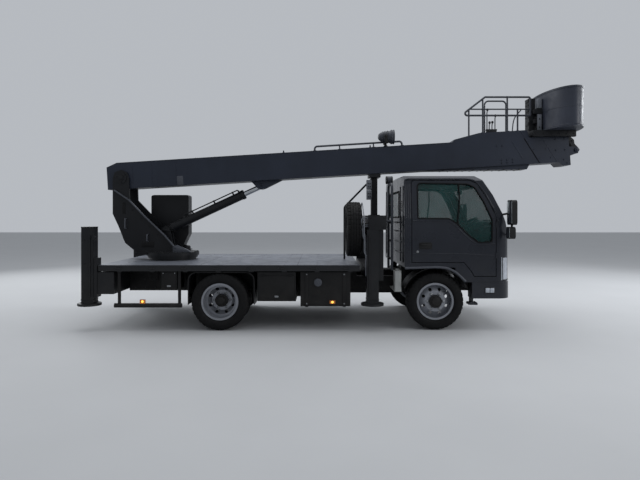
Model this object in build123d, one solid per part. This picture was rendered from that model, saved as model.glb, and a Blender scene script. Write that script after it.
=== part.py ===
"""Light cab-over truck with a slewing telescopic boom and a two-person bucket.

X points to the front of the truck, Y to its left, Z up, with the origin on the ground
under the middle of the stowed machine. All sizes are in millimetres.
"""
import os
from math import atan2, cos, degrees, hypot, radians, sin

from build123d import *

# Fits and clearances
FIT = 0.3            # running clearance of pins, hubs and slides
PLAY = 10.0          # free gap round a boom section
DOOR_GAP = 8.0

# Wheels
TYRE_R = 366.0
TYRE_W = 205.0
RIM_R = 222.0        # bead seat
FLANGE_R = 238.0
RIM_W = 152.0
RIM_T = 9.0
HUB_R = 82.0         # outer radius of the hub that carries the rim
STUD_CIRCLE_R = 104.0
HAND_HOLES = 8
HAND_HOLE_R = 21.0
HAND_HOLE_CIRCLE_R = 158.0
STUDS = 6
NUT_R = 11.0
NUT_H = 18.0
HUB_CAP_H = 26.0
FRONT_DISH = 58.0    # where the hub face of a disc stands, measured from the middle of its rim
REAR_DISH = 100.0
SPARE_DISH = 40.0
TWIN_PITCH = 236.0

# Axles
WHEELBASE = 2770.0
FRONT_AXLE_X = 1156.0
REAR_AXLE_X = FRONT_AXLE_X - WHEELBASE
FRONT_WHEEL_Y = 830.0
REAR_TWIN_Y = 755.0
KINGPIN_Y = 715.0
KINGPIN_R = 22.0
KINGPIN_BOSS_R = 32.0
KNUCKLE_POST_R = 40.0
KNUCKLE_HALF_H = 92.0
DRUM_PLATE_R = 150.0
SPINDLE_R = 34.0
AXLE_DROP = 66.0
FRONT_SEAT_Z = 388.0  # top of the spring pads on the front beam
AXLE_TUBE_R = 52.0
DIFF_R = 150.0
DIFF_NOSE = 220.0

# Deck
DECK_REAR_X = -3158.0
DECK_FRONT_X = 177.0
DECK_HALF_W = 980.0
DECK_TOP = 838.0
DECK_SKIN = 30.0
DECK_RAIL_H = 76.0
DECK_RAIL_W = 44.0
BEARER_W = 60.0
BEARERS = 8
BOX_Y = DECK_HALF_W - 25.0      # outer faces of the boxes under the deck
GUARD_Y = DECK_HALF_W - 30.0
GUARD_Z = 322.0
GUARD_R = 28.0
GUARD_FRONT_X = REAR_AXLE_X - 486.0
FENDER_X = (REAR_AXLE_X - 408.0, REAR_AXLE_X + 445.0)
FENDER_Y = (530.0, DECK_HALF_W - 22.0)
FENDER_LOW = 330.0
FENDER_T = 6.0
FENDER_CORNER_R = 120.0

# Chassis
RAIL_Y = 425.0       # outer face of each side rail
RAIL_W = 60.0
RAIL_T = 7.0
RAIL_LOW = 440.0
RAIL_TOP = 640.0
FRAME_REAR_X = DECK_REAR_X + 198.0
FRAME_FRONT_X = 2085.0
SILL_TOP = 748.0
RAIL_NOSE_TOP = 600.0     # the rails drop to pass under the cab floor
RAIL_DROP_X = 1440.0
MEMBER_H = 120.0
CROSS_MEMBER_X = (-1150.0, -300.0, 300.0, 1900.0)
SHAFT_HOLE_R = 62.0
SPRING_W = 62.0
SPRING_LEAF_T = 9.0
SPRING_LEAVES = 5

# Cab
CAB_BACK_X = 751.0
CAB_FRONT_X = 2153.0
CAB_HALF_W = 965.0
CAB_NOSE_BULGE = 55.0
CAB_CORNER_R = 170.0
CAB_SILL_Z = 808.0
CAB_NOSE_Z = 620.0
CAB_BELT_Z = 1437.0
CAB_ROOF_Z = 2008.0
CAB_ROOF_CROWN = 22.0
CAB_ROOF_IN = 70.0   # how far the roof edge stands inside the belt
CAB_WALL = 52.0
GLASS_T = 6.0
GLASS_INSET = 14.0
ARCH_R = 440.0
HOUSING_T = 6.0
HOUSING_Y = (640.0, 955.0)
HOUSING_LOW = 540.0
BUMPER_LOW = 413.0
BUMPER_REAR_X = 1612.0
BUMPER_T = 46.0
STEP_L = 178.0
LOW_STEP = (322.0, 346.0)

# Jacks
JACK_OUT_Y = DECK_HALF_W + 20.0
COLUMN_W = 150.0
LEG_W = 108.0
LEG_TOP = 1180.0
PAD_R = 146.0
PAD_T = 26.0
PAD_Z = 322.0
COLUMN_LOW = 356.0
REAR_COLUMN_TOP = 1323.0
FRONT_COLUMN_TOP = 1290.0
REAR_COLUMN_X = DECK_REAR_X - 208.0    # rear face
FRONT_COLUMN_X = DECK_FRONT_X + 91.0   # rear face

# Boom rest
REST_BEAM_H = 180.0
REST_BEAM_FRONT = 512.0
REST_POST_X = 460.0
REST_POST_W = 92.0
REST_GAP = 8.0
SHOE_T = 2.5
STAY_R = 14.0
STAY_FOOT = (28.0, 24.0)   # where the stay of the rest stands on the deck
STAY_SOCKET = 12.0

# Slewing turret
SLEW_X = -2480.0
PEDESTAL_R = 330.0
PEDESTAL_TOP = 900.0
WELL_GAP = 3.0
TURNTABLE_R = 352.0
TURNTABLE_T = 50.0
PIVOT_X = -3176.0
PIVOT_Z = 2010.0
PIVOT_R = 45.0
CHEEK_T = 25.0
CHEEK_FLANGE = 32.0    # how far the edge flange stands out from the right cheek
CHEEK_FLANGE_T = 9.0

# Boom
BOOM_SLOPE = 3.5     # stowed angle in degrees
BOOM_LOW = -155.0    # underside, below the pivot
BOOM_HIGH = 225.0
BOOM_HALF_W = 150.0
BOOM_REAR = -208.0
BOOM_WALL = 14.0
SECOND_REAR = 140.0
THIRD_REAR = 190.0
SECOND_WALL = 12.0
THIRD_WALL = 10.0
SHOE_L = 160.0
BASE_NOSE = 5905.0   # middle of the slanted front end
NOSE_RAKE = 0.55     # how far the end leans back for each millimetre up
SECOND_NOSE = 6178.0
THIRD_NOSE = 6440.0
NOSE_GAP = 3.0       # between the ends of nested sections
HEAD_TOP = 262.0
HEAD_HALF_W = BOOM_HALF_W - 6.0
LEVEL_U = 6570.0     # levelling pin, along the boom
LEVEL_W = 13.0
LEVEL_PIN_R = 26.0

# Lift cylinder
BARREL_X = -2570.0
BARREL_Z = 1262.0
BARREL_R = 62.0
BARREL_L = 1250.0
ROD_R = 38.0
ROD_START = 101.0
PISTON_L = 40.0
EYE_R = 50.0
EYE_HOLE_R = 25.0
EYE_W = 70.0
LUG_U = 1987.0
LUG_W = -226.0

# Bucket
BUCKET_X = 3118.0
BUCKET_HALF_L = 266.0    # half axes of the oval rim
BUCKET_HALF_W = 630.0
BUCKET_LOW = 2690.0
BUCKET_TOP = 3232.0
BUCKET_WALL = 9.0
BUCKET_FLOOR_T = 24.0
BUCKET_TAPER = 14.0      # how far the oval is drawn in at the bottom
BUCKET_TOP_IN = 4.0      # and under the rolled rim
BUCKET_RIM_H = 24.0
BUCKET_FLANGE = (12.0, 16.0)   # how far the bottom flange stands out, and its height
MAST_X = 2745.0
MAST_W = 90.0
MAST_HALF = 70.0
MAST_TOP = 3165.0
MAST_POST_X = (2787.0, 2851.0)
MAST_POST_Y = (88.0, 150.0)
MAST_POST_TOP = 3017.0
MAST_TIE_Z = (2800.0, 2940.0)
MAST_TIE_H = 60.0
CRADLE_Y = (165.0, 225.0)      # side arms of the cradle, with the boom head between them
CRADLE_LOW = BUCKET_LOW - 90.0
CRADLE_T = 72.0


# Plain shapes

def block(x, y, z):
    """A box from three (low, high) pairs."""
    size = [high - low for low, high in (x, y, z)]
    middle = [(low + high) / 2 for low, high in (x, y, z)]
    return Pos(*middle) * Box(*size)


def mirrored(shape):
    """The same piece on the other side of the truck."""
    return mirror(shape, about=Plane.XZ)


def pair(shape):
    return [shape, mirrored(shape)]


def rod(start, end, radius):
    """A round bar between two points."""
    axis = Vector(*end) - Vector(*start)
    place = Plane(origin=start, z_dir=axis)
    return place * Cylinder(radius, axis.length, align=(Align.CENTER, Align.CENTER, Align.MIN))


def ring(start, end, outer, inner):
    return rod(start, end, outer) - rod(start, end, inner)


def side_plate(points, y):
    """A plate cut to a side outline of (x, z) points, from y low to y high."""
    face = make_face(Polyline(*[(px, 0, pz) for px, pz in points], close=True))
    low, high = y
    return Pos(0, low, 0) * extrude(face, amount=high - low, dir=(0, 1, 0))


def pipe(points, radius, bend):
    """A bent pipe through the points, with the same bend at each corner."""
    if len(points) > 2:
        path = FilletPolyline(*points, radius=bend)
    else:
        path = Line(*points)
    start = Plane(origin=path @ 0, z_dir=path % 0)
    return sweep(start * Circle(radius), path=path)


def whole(shapes):
    """Everything in the list as one shape."""
    first, *rest = shapes
    return first.fuse(*rest) if rest else first


# Wheels

def tyre(y):
    """A tyre whose middle is at y, on an axis along Y."""
    half, shoulder, bead = TYRE_W / 2, TYRE_W * 0.40, RIM_W / 2 - RIM_T - FIT
    mid_r = (TYRE_R + RIM_R) / 2
    right = [(bead, RIM_R), (bead, FLANGE_R + 3), (half * 0.9, FLANGE_R + 10), (half, mid_r),
             (half * 0.94, TYRE_R - 30), (shoulder, TYRE_R - 4), (0, TYRE_R)]
    outline = right + [(-py, pz) for py, pz in reversed(right[:-1])]
    face = make_face(Polyline(*[(0, py, pz) for py, pz in outline], close=True))
    return Pos(0, y, 0) * revolve(face, axis=Axis.Y)


def rim(y, dish, side):
    """A pressed steel rim at y; dish is where the disc's hub face stands, measured outward."""
    half, r_in = RIM_W / 2, RIM_R - FIT
    barrel = [
        (-half, FLANGE_R), (-half + RIM_T, FLANGE_R), (-half + RIM_T, r_in), (half - RIM_T, r_in),
        (half - RIM_T, FLANGE_R), (half, FLANGE_R), (half, r_in - RIM_T), (-half, r_in - RIM_T),
    ]
    seat = r_in - RIM_T
    disc = [
        (HUB_R + FIT, dish), (STUD_CIRCLE_R + 28, dish), (seat - 34, dish * 0.35),
        (seat + 2, dish * 0.2 - 16), (seat + 2, dish * 0.2 - 30), (seat - 38, dish * 0.35 - 13),
        (STUD_CIRCLE_R + 24, dish - RIM_T - 4), (HUB_R + FIT, dish - RIM_T - 4),
    ]
    well = make_face(Polyline(*[(0, py, pz) for py, pz in barrel], close=True))
    web = make_face(Polyline(*[(0, side * py, pz) for pz, py in disc], close=True))
    body = revolve(well, axis=Axis.Y) + revolve(web, axis=Axis.Y)
    for turn in range(HAND_HOLES):
        angle = 360 / HAND_HOLES * (turn + 0.5)
        hole = rod((HAND_HOLE_CIRCLE_R, -TYRE_W, 0), (HAND_HOLE_CIRCLE_R, TYRE_W, 0), HAND_HOLE_R)
        body -= Rot(0, angle, 0) * hole
    return Pos(0, y, 0) * body


def hub(y_in, y_out, radius):
    """The hub that turns with a wheel, closed by a stepped cap."""
    low, high = sorted((y_in, y_out))
    out = 1 if y_out > y_in else -1
    cap = rod((0, y_out, 0), (0, y_out + out * HUB_CAP_H, 0), radius * 0.62)
    return rod((0, low, 0), (0, high, 0), radius) + cap


def studs(y, side):
    nut = rod((STUD_CIRCLE_R, y, 0), (STUD_CIRCLE_R, y + side * NUT_H, 0), NUT_R)
    return [Rot(0, 360 / STUDS * turn, 0) * nut for turn in range(STUDS)]


def front_wheel(side):
    """Tyre and rim of a front wheel, at their place on the truck."""
    place = Pos(FRONT_AXLE_X, side * FRONT_WHEEL_Y, TYRE_R)
    dish = FRONT_DISH
    face = side * dish
    core = hub(side * -20, side * (dish + 34), HUB_R + FIT) - rod(
        (0, side * -60, 0), (0, side * 40, 0), SPINDLE_R + FIT)
    disc = rim(0, dish, side) + core + whole(studs(face, side))
    return place * tyre(0), place * disc


def rear_wheels(side):
    """Both tyres and both rims of a twin wheel."""
    place = Pos(REAR_AXLE_X, side * REAR_TWIN_Y, TYRE_R)
    half = TWIN_PITCH / 2
    dish = REAR_DISH
    outer = rim(side * half, -dish, side)
    inner = rim(-side * half, dish, side)
    face = side * (half - dish)
    drum = hub(-side * 70, face + side * 60, HUB_R + FIT) - rod(
        (0, -side * 120, 0), (0, side * 20, 0), AXLE_TUBE_R + FIT)
    disc = whole([outer, inner, drum, *studs(face, side)])
    tyres = Compound([place * tyre(y) for y in (side * half, -side * half)])
    return tyres, place * disc


# Axles and steering

def knuckle(side):
    """Steering knuckle with its kingpin, spindle and brake drum back plate."""
    x, z = FRONT_AXLE_X, TYRE_R
    king = side * KINGPIN_Y
    inner_face = side * (FRONT_WHEEL_Y - 22)
    high = KNUCKLE_HALF_H
    post = rod((x, king, z - high), (x, king, z + high), KNUCKLE_POST_R) - block(
        (x - 60, x + 60), (king - 60, king + 60), (z - high / 2, z + high / 2))
    pin = rod((x, king, z - 80), (x, king, z + 80), KINGPIN_R)
    yoke = block((x - 36, x + 36), sorted((king + side * 34, king + side * 62)), (z - high, z + high))
    plate = rod((x, king + side * 50, z), (x, king + side * 62, z), DRUM_PLATE_R)
    spindle = rod((x, king + side * 50, z), (x, side * FRONT_WHEEL_Y + side * 36, z), SPINDLE_R)
    shoulder = rod((x, king + side * 60, z), (x, inner_face - side * 0.5, z), 58)
    return whole([post, pin, yoke, plate, spindle, shoulder])


def front_axle():
    """Dropped I-beam whose bored ends hold the kingpins."""
    x, z = FRONT_AXLE_X, TYRE_R
    middle = block((x - 38, x + 38), (-420, 420), (z - AXLE_DROP - 34, z - AXLE_DROP + 34))
    for face in (-1, 1):
        middle -= block(sorted((x + face * 12, x + face * 40)), (-400, 400),
                        (z - AXLE_DROP - 20, z - AXLE_DROP + 20))
    ends = []
    for side in (-1, 1):
        arm = [(-38, -34), (38, -34), (38, 34), (-38, 34)]
        inboard = Plane(origin=(x, side * 400, z - AXLE_DROP), z_dir=(0, side, 0), x_dir=(1, 0, 0))
        outboard = Plane(origin=(x, side * (KINGPIN_Y - 24), z), z_dir=(0, side, 0), x_dir=(1, 0, 0))
        arms = loft([inboard * make_face(Polyline(*arm, close=True)),
                     outboard * make_face(Polyline(*arm, close=True))])
        boss = rod((x, side * KINGPIN_Y, z - 45), (x, side * KINGPIN_Y, z + 45), KINGPIN_BOSS_R)
        hole = rod((x, side * KINGPIN_Y, z - 60), (x, side * KINGPIN_Y, z + 60), KINGPIN_R + FIT)
        ends.append((arms + boss) - hole)
    pad = block((x - 38, x + 38), (RAIL_Y, RAIL_Y + SPRING_W), (z - AXLE_DROP, FRONT_SEAT_Z))
    return whole([middle, *ends, pad, mirrored(pad)])


def rear_axle():
    """Banjo axle: a tube with the differential housing in the middle."""
    x, z = REAR_AXLE_X, TYRE_R
    reach = REAR_TWIN_Y + 18
    tube = rod((x, -reach, z), (x, reach, z), AXLE_TUBE_R)
    bowl = Pos(x, 0, z) * Sphere(DIFF_R)
    bowl &= block((x - DIFF_R, x + DIFF_R), (-110, 110), (z - DIFF_R, z + DIFF_R))
    nose = rod((x, 0, z), (x + DIFF_NOSE, 0, z), 62)
    collars = [rod((x, side * 492, z), (x, side * 522, z), 88) for side in (-1, 1)]
    return whole([tube, bowl, nose, *collars])


def leaf_pack(x, y, base, half):
    """A stack of leaves, each shorter than the one above, clamped over the axle."""
    pack = []
    for leaf in range(SPRING_LEAVES):
        reach = half * (1 - 0.17 * leaf)
        top = base - leaf * SPRING_LEAF_T
        pack.append(block((x - reach, x + reach), (y - SPRING_W / 2, y + SPRING_W / 2),
                          (top - SPRING_LEAF_T, top)))
    for end in (-1, 1):
        pack.append(rod((x + end * half, y - SPRING_W / 2, base), (x + end * half,
                    y + SPRING_W / 2, base), 20))
        hanger = block((x + end * half - 22, x + end * half + 22),
                       (y - SPRING_W / 2, y + SPRING_W / 2), (base, RAIL_TOP - 90))
        pack.append(hanger)
    return pack


def leaf_springs():
    """Front and rear leaf springs, carried by hangers on the outside of the side rails."""
    y = RAIL_Y + SPRING_W / 2
    seat_rear = TYRE_R + AXLE_TUBE_R
    shapes = []
    for x, seat, half, saddle_y in (
        (REAR_AXLE_X, seat_rear, 480, y), (FRONT_AXLE_X, FRONT_SEAT_Z, 330, y),
    ):
        base = seat + SPRING_LEAVES * SPRING_LEAF_T
        pack = whole(leaf_pack(x, saddle_y, base, half))
        shapes += pair(pack)
    return shapes


# Chassis

def rail_outline(inset):
    """Side outline of a rail: full height behind, lower where it passes under the cab floor."""
    low, top, nose = RAIL_LOW + inset, RAIL_TOP - inset, RAIL_NOSE_TOP - inset
    return [(FRAME_REAR_X, low), (FRAME_FRONT_X, low), (FRAME_FRONT_X, nose),
            (RAIL_DROP_X + 60, nose), (RAIL_DROP_X, top), (FRAME_REAR_X, top)]


def chassis_frame():
    """Two channel rails with a sub-frame sill on top and box cross members between."""
    rail = side_plate(rail_outline(0), (RAIL_Y - RAIL_W, RAIL_Y))
    rail -= side_plate(rail_outline(RAIL_T), (RAIL_Y - RAIL_W, RAIL_Y - RAIL_T))
    sill = block((FRAME_REAR_X, DECK_FRONT_X), (RAIL_Y - RAIL_W, RAIL_Y), (RAIL_TOP, SILL_TOP))
    reach = RAIL_Y - RAIL_T
    low = RAIL_LOW + RAIL_T
    members = [block((x - 45, x + 45), (-reach, reach), (low, low + MEMBER_H))
               for x in CROSS_MEMBER_X]
    mounts = []
    for x, foot, top in ((CAB_BACK_X + 70, RAIL_TOP, CAB_SILL_Z), (1900, RAIL_NOSE_TOP, CAB_NOSE_Z)):
        mounts += pair(block((x - 30, x + 30), (RAIL_Y - RAIL_W, RAIL_Y), (foot - RAIL_T, top)))
    start, end = shaft_ends()
    return whole([rail, sill, mirrored(rail), mirrored(sill), *members, *mounts]) - rod(
        start, end, SHAFT_HOLE_R)


ENGINE_X = (860.0, 1390.0)
ENGINE_LOW = 404.0
GEARBOX_REAR_X = 430.0
GEARBOX_Z = 540.0


def engine_block():
    return block(ENGINE_X, (-270, 270), (ENGINE_LOW, 780))


def shaft_ends():
    """Ends of the propeller shaft: gearbox output and differential nose."""
    return (GEARBOX_REAR_X, 0, GEARBOX_Z), (REAR_AXLE_X + DIFF_NOSE + 40, 0, TYRE_R)


def drive_line():
    """Gearbox, propeller shaft and its joints, from the engine to the rear axle."""
    gearbox = block((GEARBOX_REAR_X, ENGINE_X[0]), (-130, 130), (430, 700))
    start, end = shaft_ends()
    shaft = rod(start, end, 36)
    nose_x = REAR_AXLE_X + DIFF_NOSE
    yoke = rod((nose_x, 0, TYRE_R), (nose_x + 60, 0, TYRE_R), 50)
    collar = rod((GEARBOX_REAR_X - 60, 0, GEARBOX_Z), (GEARBOX_REAR_X, 0, GEARBOX_Z), 52)
    return whole([gearbox, shaft, yoke, collar])


# Cab

def cab_side_outline(inset):
    """Side outline of the cab, drawn in by inset."""
    back, front, roof = CAB_BACK_X + inset, CAB_FRONT_X - inset, CAB_ROOF_Z - inset
    lean = inset * 1.12
    return [
        (back, CAB_SILL_Z + inset), (back, roof - 30), (back + 30, roof),
        (1640 - lean * 0.3, roof), (1762 - lean, roof - 76), (1890 - lean, 1736),
        (2056 - lean, 1389), (2133 - lean, 1090), (front, 900), (front, CAB_NOSE_Z + inset),
        (1400 + inset, CAB_NOSE_Z + inset), (1400 + inset, CAB_SILL_Z + inset),
    ]


def nose_plan(inset):
    """Plan of the cab: straight sides, a slightly bowed nose and rounded front corners."""
    half, back, front = CAB_HALF_W - inset, CAB_BACK_X + inset, CAB_FRONT_X - inset
    shoulder = front - CAB_NOSE_BULGE
    outline = [
        Line((back, -half), (shoulder, -half)),
        ThreePointArc((shoulder, -half), (front, 0), (shoulder, half)),
        Line((shoulder, half), (back, half)),
        Line((back, half), (back, -half)),
    ]
    face = make_face(outline)
    corners = face.vertices().sort_by(Axis.X)[-2:]
    return fillet(corners, CAB_CORNER_R - inset)


def cab_form(inset):
    """The cab's whole outer form, drawn in by inset: side, plan and end outlines together."""
    half = CAB_HALF_W - inset
    side = side_plate(cab_side_outline(inset), (-half, half))
    plan = extrude(nose_plan(inset), amount=CAB_ROOF_Z)
    roof_half = half - CAB_ROOF_IN
    edge = CAB_ROOF_Z - CAB_ROOF_CROWN - inset
    low = CAB_NOSE_Z - 100
    end = [(-half, low), (-half, CAB_BELT_Z), (-roof_half - 8, edge - 62), (-roof_half + 52, edge),
           (0, CAB_ROOF_Z - inset),
           (roof_half - 52, edge), (roof_half + 8, edge - 62), (half, CAB_BELT_Z), (half, low)]
    face = make_face(Polyline(*[(0, y, z) for y, z in end], close=True))
    across = Pos(CAB_BACK_X, 0, 0) * extrude(face, amount=CAB_FRONT_X, dir=(1, 0, 0))
    arch = rod((FRONT_AXLE_X, -CAB_HALF_W - 50, TYRE_R), (FRONT_AXLE_X, CAB_HALF_W + 50, TYRE_R),
               ARCH_R + inset)
    return (side & plan & across) - arch


DOOR_REAR_X, DOOR_FRONT_X = 840.0, 1925.0
DOOR_LOW = 868.0
DOOR_DEPTH_Y = 780.0   # the door cut starts this far out
HINGE_Z = (960.0, 1360.0)
HINGE_H = 34.0       # height of each half of a hinge
HINGE_R = 9.0
HINGE_PIN_R = 5.0
HINGE_LEAF = 24.0
DOOR_OUTLINE = [
    (DOOR_REAR_X, DOOR_LOW), (DOOR_REAR_X, 1900), (DOOR_REAR_X + 30, 1930), (1600, 1930),
    (1690, 1890), (1815, 1700), (DOOR_FRONT_X, 1470), (DOOR_FRONT_X, 690), (1640, 690), (1600, 760),
    (1510, DOOR_LOW),
]
WINDOW_OUTLINE = [
    (923, 1437), (923, 1860), (950, 1890), (1570, 1878), (1660, 1835), (1770, 1650),
    (1868, 1420), (1868, 1140), (1700, 1125), (1578, 1215), (1420, 1370), (1330, 1432),
]
SCREEN_OUTLINE = [(-838, 1372), (-790, 1865), (790, 1865), (838, 1372)]
REAR_WINDOW = ((-520, 520), (1450, 1800))


def side_prism(points, side, shrink):
    """A prism through one side of the cab, with its outline drawn in by shrink."""
    face = make_face(Polyline(*[(x, 0, z) for x, z in points], close=True))
    face = offset(face, amount=-shrink, kind=Kind.INTERSECTION) if shrink else face
    depth = CAB_HALF_W
    block_y = extrude(face, amount=depth, dir=(0, side, 0))
    return Pos(0, side * DOOR_DEPTH_Y, 0) * block_y


def screen_prism(shrink):
    face = make_face(Polyline(*[(0, y, z) for y, z in SCREEN_OUTLINE], close=True))
    face = offset(face, amount=-shrink, kind=Kind.INTERSECTION) if shrink else face
    return Pos(1500, 0, 0) * extrude(face, amount=1000, dir=(1, 0, 0))


def rear_window_prism(shrink):
    (y_low, y_high), (z_low, z_high) = REAR_WINDOW
    return block((CAB_BACK_X - 50, CAB_BACK_X + 200), (y_low + shrink, y_high - shrink),
                 (z_low + shrink, z_high - shrink))


LAMP_Y, LAMP_Z = (640.0, CAB_HALF_W + 40), (646.0, 938.0)
GRILLE_HALF_W = 560.0
GRILLE_SLOTS = [(690.0, 30.0), (744.0, 30.0), (798.0, 30.0), (852.0, 30.0)]   # low edge, height


def lamp_box(side, shrink):
    y = sorted((side * (LAMP_Y[0] + shrink), side * LAMP_Y[1]))
    return block((1990 + shrink, 2300), y, (LAMP_Z[0] + shrink, LAMP_Z[1] - shrink))


def door_hinges(side):
    """Hinge pieces of one door, and the notches they need in the door and in the pillar."""
    x, y = DOOR_FRONT_X - DOOR_GAP / 2, side * (CAB_HALF_W + 2)
    flat = sorted((side * (CAB_HALF_W - 6), y))
    on_cab, on_door, door_notch, cab_notch = [], [], [], []
    free = HINGE_R + 1.5
    for z in HINGE_Z:
        door_notch.append(rod((x, y, z - 1), (x, y, z + HINGE_H + 4), free))
        door_notch.append(rod((x, y, z - HINGE_H - 4), (x, y, z), HINGE_PIN_R + FIT))
        cab_notch.append(rod((x, y, z - HINGE_H - 4), (x, y, z + FIT / 2), free))
        pin = rod((x, y, z - HINGE_H), (x, y, z + HINGE_H), HINGE_PIN_R)
        upper = rod((x, y, z + FIT), (x, y, z + HINGE_H), HINGE_R)
        on_cab += [pin, upper, block((x, x + HINGE_LEAF), flat, (z + FIT, z + HINGE_H))]
        lower = rod((x, y, z - HINGE_H), (x, y, z), HINGE_R)
        lower += block((x - HINGE_LEAF, x), flat, (z - HINGE_H, z))
        on_door.append(lower - rod((x, y, z - HINGE_H - 1), (x, y, z + 1), HINGE_PIN_R + FIT))
    return on_cab, on_door, whole(door_notch), whole(cab_notch)


def cab_parts():
    """Cab shell, its fixed glass, and each door with its own window, cut from one form."""
    outer = cab_form(0)
    shell = outer - cab_form(CAB_WALL)
    glass_skin = cab_form(GLASS_INSET) - cab_form(GLASS_INSET + GLASS_T)
    body = shell - screen_prism(0) - rear_window_prism(0)
    doors = {}
    hinges = []
    for side in (-1, 1):
        body -= side_prism(DOOR_OUTLINE, side, 0)
        body -= lamp_box(side, 0)
        panel = (shell & side_prism(DOOR_OUTLINE, side, DOOR_GAP)) - side_prism(
            WINDOW_OUTLINE, side, 0)
        pane = glass_skin & side_prism(WINDOW_OUTLINE, side, FIT)
        on_cab, on_door, door_notch, cab_notch = door_hinges(side)
        body -= cab_notch
        hinges += on_cab
        doors[side] = (whole([panel - door_notch, *on_door]), pane)
    skin = outer - cab_form(26)
    for low, height in GRILLE_SLOTS:
        body -= skin & block((2000, 2300), (-GRILLE_HALF_W, GRILLE_HALF_W), (low, low + height))
    glass = [glass_skin & screen_prism(FIT), glass_skin & rear_window_prism(FIT)]
    lens_form = outer - cab_form(CAB_WALL - 8)
    lamps = [lens_form & lamp_box(side, FIT) for side in (-1, 1)]
    return whole([body, *hinges]), glass, doors, lamps


def front_bumper():
    """Wrap-round bumper under the nose, with a step at each end."""
    outer = extrude(nose_plan(-8), amount=CAB_NOSE_Z - BUMPER_LOW)
    inner = extrude(nose_plan(BUMPER_T), amount=CAB_NOSE_Z - BUMPER_LOW)
    wrap = Pos(0, 0, BUMPER_LOW) * (outer - inner)
    wrap &= block((BUMPER_REAR_X, CAB_FRONT_X + 50), (-1200, 1200), (BUMPER_LOW, CAB_NOSE_Z))
    vent = block((2000, 2300), (-420, 420), (470, 540))
    wrap -= vent
    steps = []
    for side in (-1, 1):
        y = sorted((side * 780, side * (CAB_HALF_W - BUMPER_T)))
        x = BUMPER_REAR_X
        tread = block((x, x + STEP_L), y, (BUMPER_LOW, BUMPER_LOW + 24))
        hanger = block((x, x + 18), y, (BUMPER_LOW, CAB_NOSE_Z))
        low_tread = block((x - 24, x + 86), y, LOW_STEP)
        low_hanger = block((x + 12, x + 30), y, (LOW_STEP[0], BUMPER_LOW + 12))
        steps += [tread, hanger, low_tread, low_hanger]
    return whole([wrap, *steps])


def wheel_housings():
    """Bent sheet over each front wheel, seated in the wheel arch of the cab."""
    y = HOUSING_Y
    x, z = FRONT_AXLE_X, TYRE_R
    sheet = ring((x, y[0], z), (x, y[1], z), ARCH_R, ARCH_R - HOUSING_T)
    sheet &= block((x - ARCH_R, x + ARCH_R), y, (HOUSING_LOW, z + ARCH_R + 10))
    return pair(sheet)


DASH_OUTLINE = [(1745, 1090), (1730, 1180), (1790, 1310), (1960, 1345), (2010, 1290), (2040, 1090)]
DASH_HALF_W = 860.0
STEERING_AT = (1668.0, -430.0, 1330.0)
STEERING_TILT = (-0.55, 0.0, 0.835)
STEERING_R = 190.0
STEERING_RIM_R = 13.0
SPOKES = 3
SPOKE = (34.0, 12.0)    # width, thickness
COLUMN_FOOT = (1800.0, -430.0, 1130.0)
COLUMN_R = 34.0


def dashboard():
    """Dashboard, steering column and wheel on the right-hand side."""
    panel = side_plate(DASH_OUTLINE, (-DASH_HALF_W, DASH_HALF_W))
    panel &= cab_form(CAB_WALL + FIT)
    tilt = Plane(origin=STEERING_AT, z_dir=STEERING_TILT)
    wheel = tilt * Torus(STEERING_R, STEERING_RIM_R)
    width, thick = SPOKE
    spokes = [tilt * Rot(0, 0, 360 / SPOKES * turn + 90) * Pos(STEERING_R / 2, 0, -thick / 2)
              * Box(STEERING_R, width, thick) for turn in range(SPOKES)]
    column = rod(STEERING_AT, COLUMN_FOOT, COLUMN_R)
    return whole([panel, column, wheel, *spokes])


SEATS = [(-480.0, 250.0), (60.0, 200.0), (500.0, 230.0)]   # middle in y, half width
SEAT_X = (1010.0, 1500.0)
SEAT_BASE_H = 90.0
SEAT_H = 230.0
SEAT_BACK = (120.0, 520.0)     # thickness, height
SEAT_LEAN = 12.0
HEAD_REST = (80.0, 220.0, 150.0)
HEAD_REST_AT = (905.0, 740.0)  # x, height over the floor


def seats():
    """Driver's and passengers' seats, each with a cushion, back and head rest."""
    floor = CAB_SILL_Z + CAB_WALL
    shapes = []
    x_rear, x_front = SEAT_X
    thick, tall = SEAT_BACK
    rest_x, rest_up = HEAD_REST_AT
    for y, half in SEATS:
        cushion = block(SEAT_X, (y - half, y + half), (floor + SEAT_BASE_H, floor + SEAT_H))
        cushion = fillet(cushion.edges().filter_by(Axis.Y), 45)
        base = block((x_rear + 30, x_front - 30), (y - half + 30, y + half - 30),
                     (floor, floor + SEAT_BASE_H))
        back = Pos(x_rear + 2, y, floor + SEAT_H - 30) * Rot(0, -SEAT_LEAN, 0) * block(
            (-thick / 2, thick / 2), (-half, half), (0, tall))
        back = fillet(back.edges().filter_by(Axis.Y), 30)
        rest = Pos(rest_x, y, floor + rest_up) * Box(*HEAD_REST)
        post = rod((rest_x + 5, y, floor + rest_up - 100), (rest_x, y, floor + rest_up - 40), 20)
        shapes.append(whole([base, cushion, back, post, rest]))
    return shapes


MIRROR_AT, MIRROR_SIZE = (2075.0, -1100.0, 1510.0), (62.0, 190.0, 310.0)
LOW_MIRROR_AT, LOW_MIRROR_SIZE = (2062.0, -1090.0, 1255.0), (70.0, 150.0, 150.0)
MIRROR_CORNER_R = 40.0
MIRROR_ARM_R = 13.0
MIRROR_ARM = [(1990, -905, 1480), (2070, -1000, 1500), (2075, -1090, 1500)]
LOW_MIRROR_ARM = [(2060, -935, 1225), (2075, -1000, 1255), (2070, -1080, 1262)]


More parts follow.
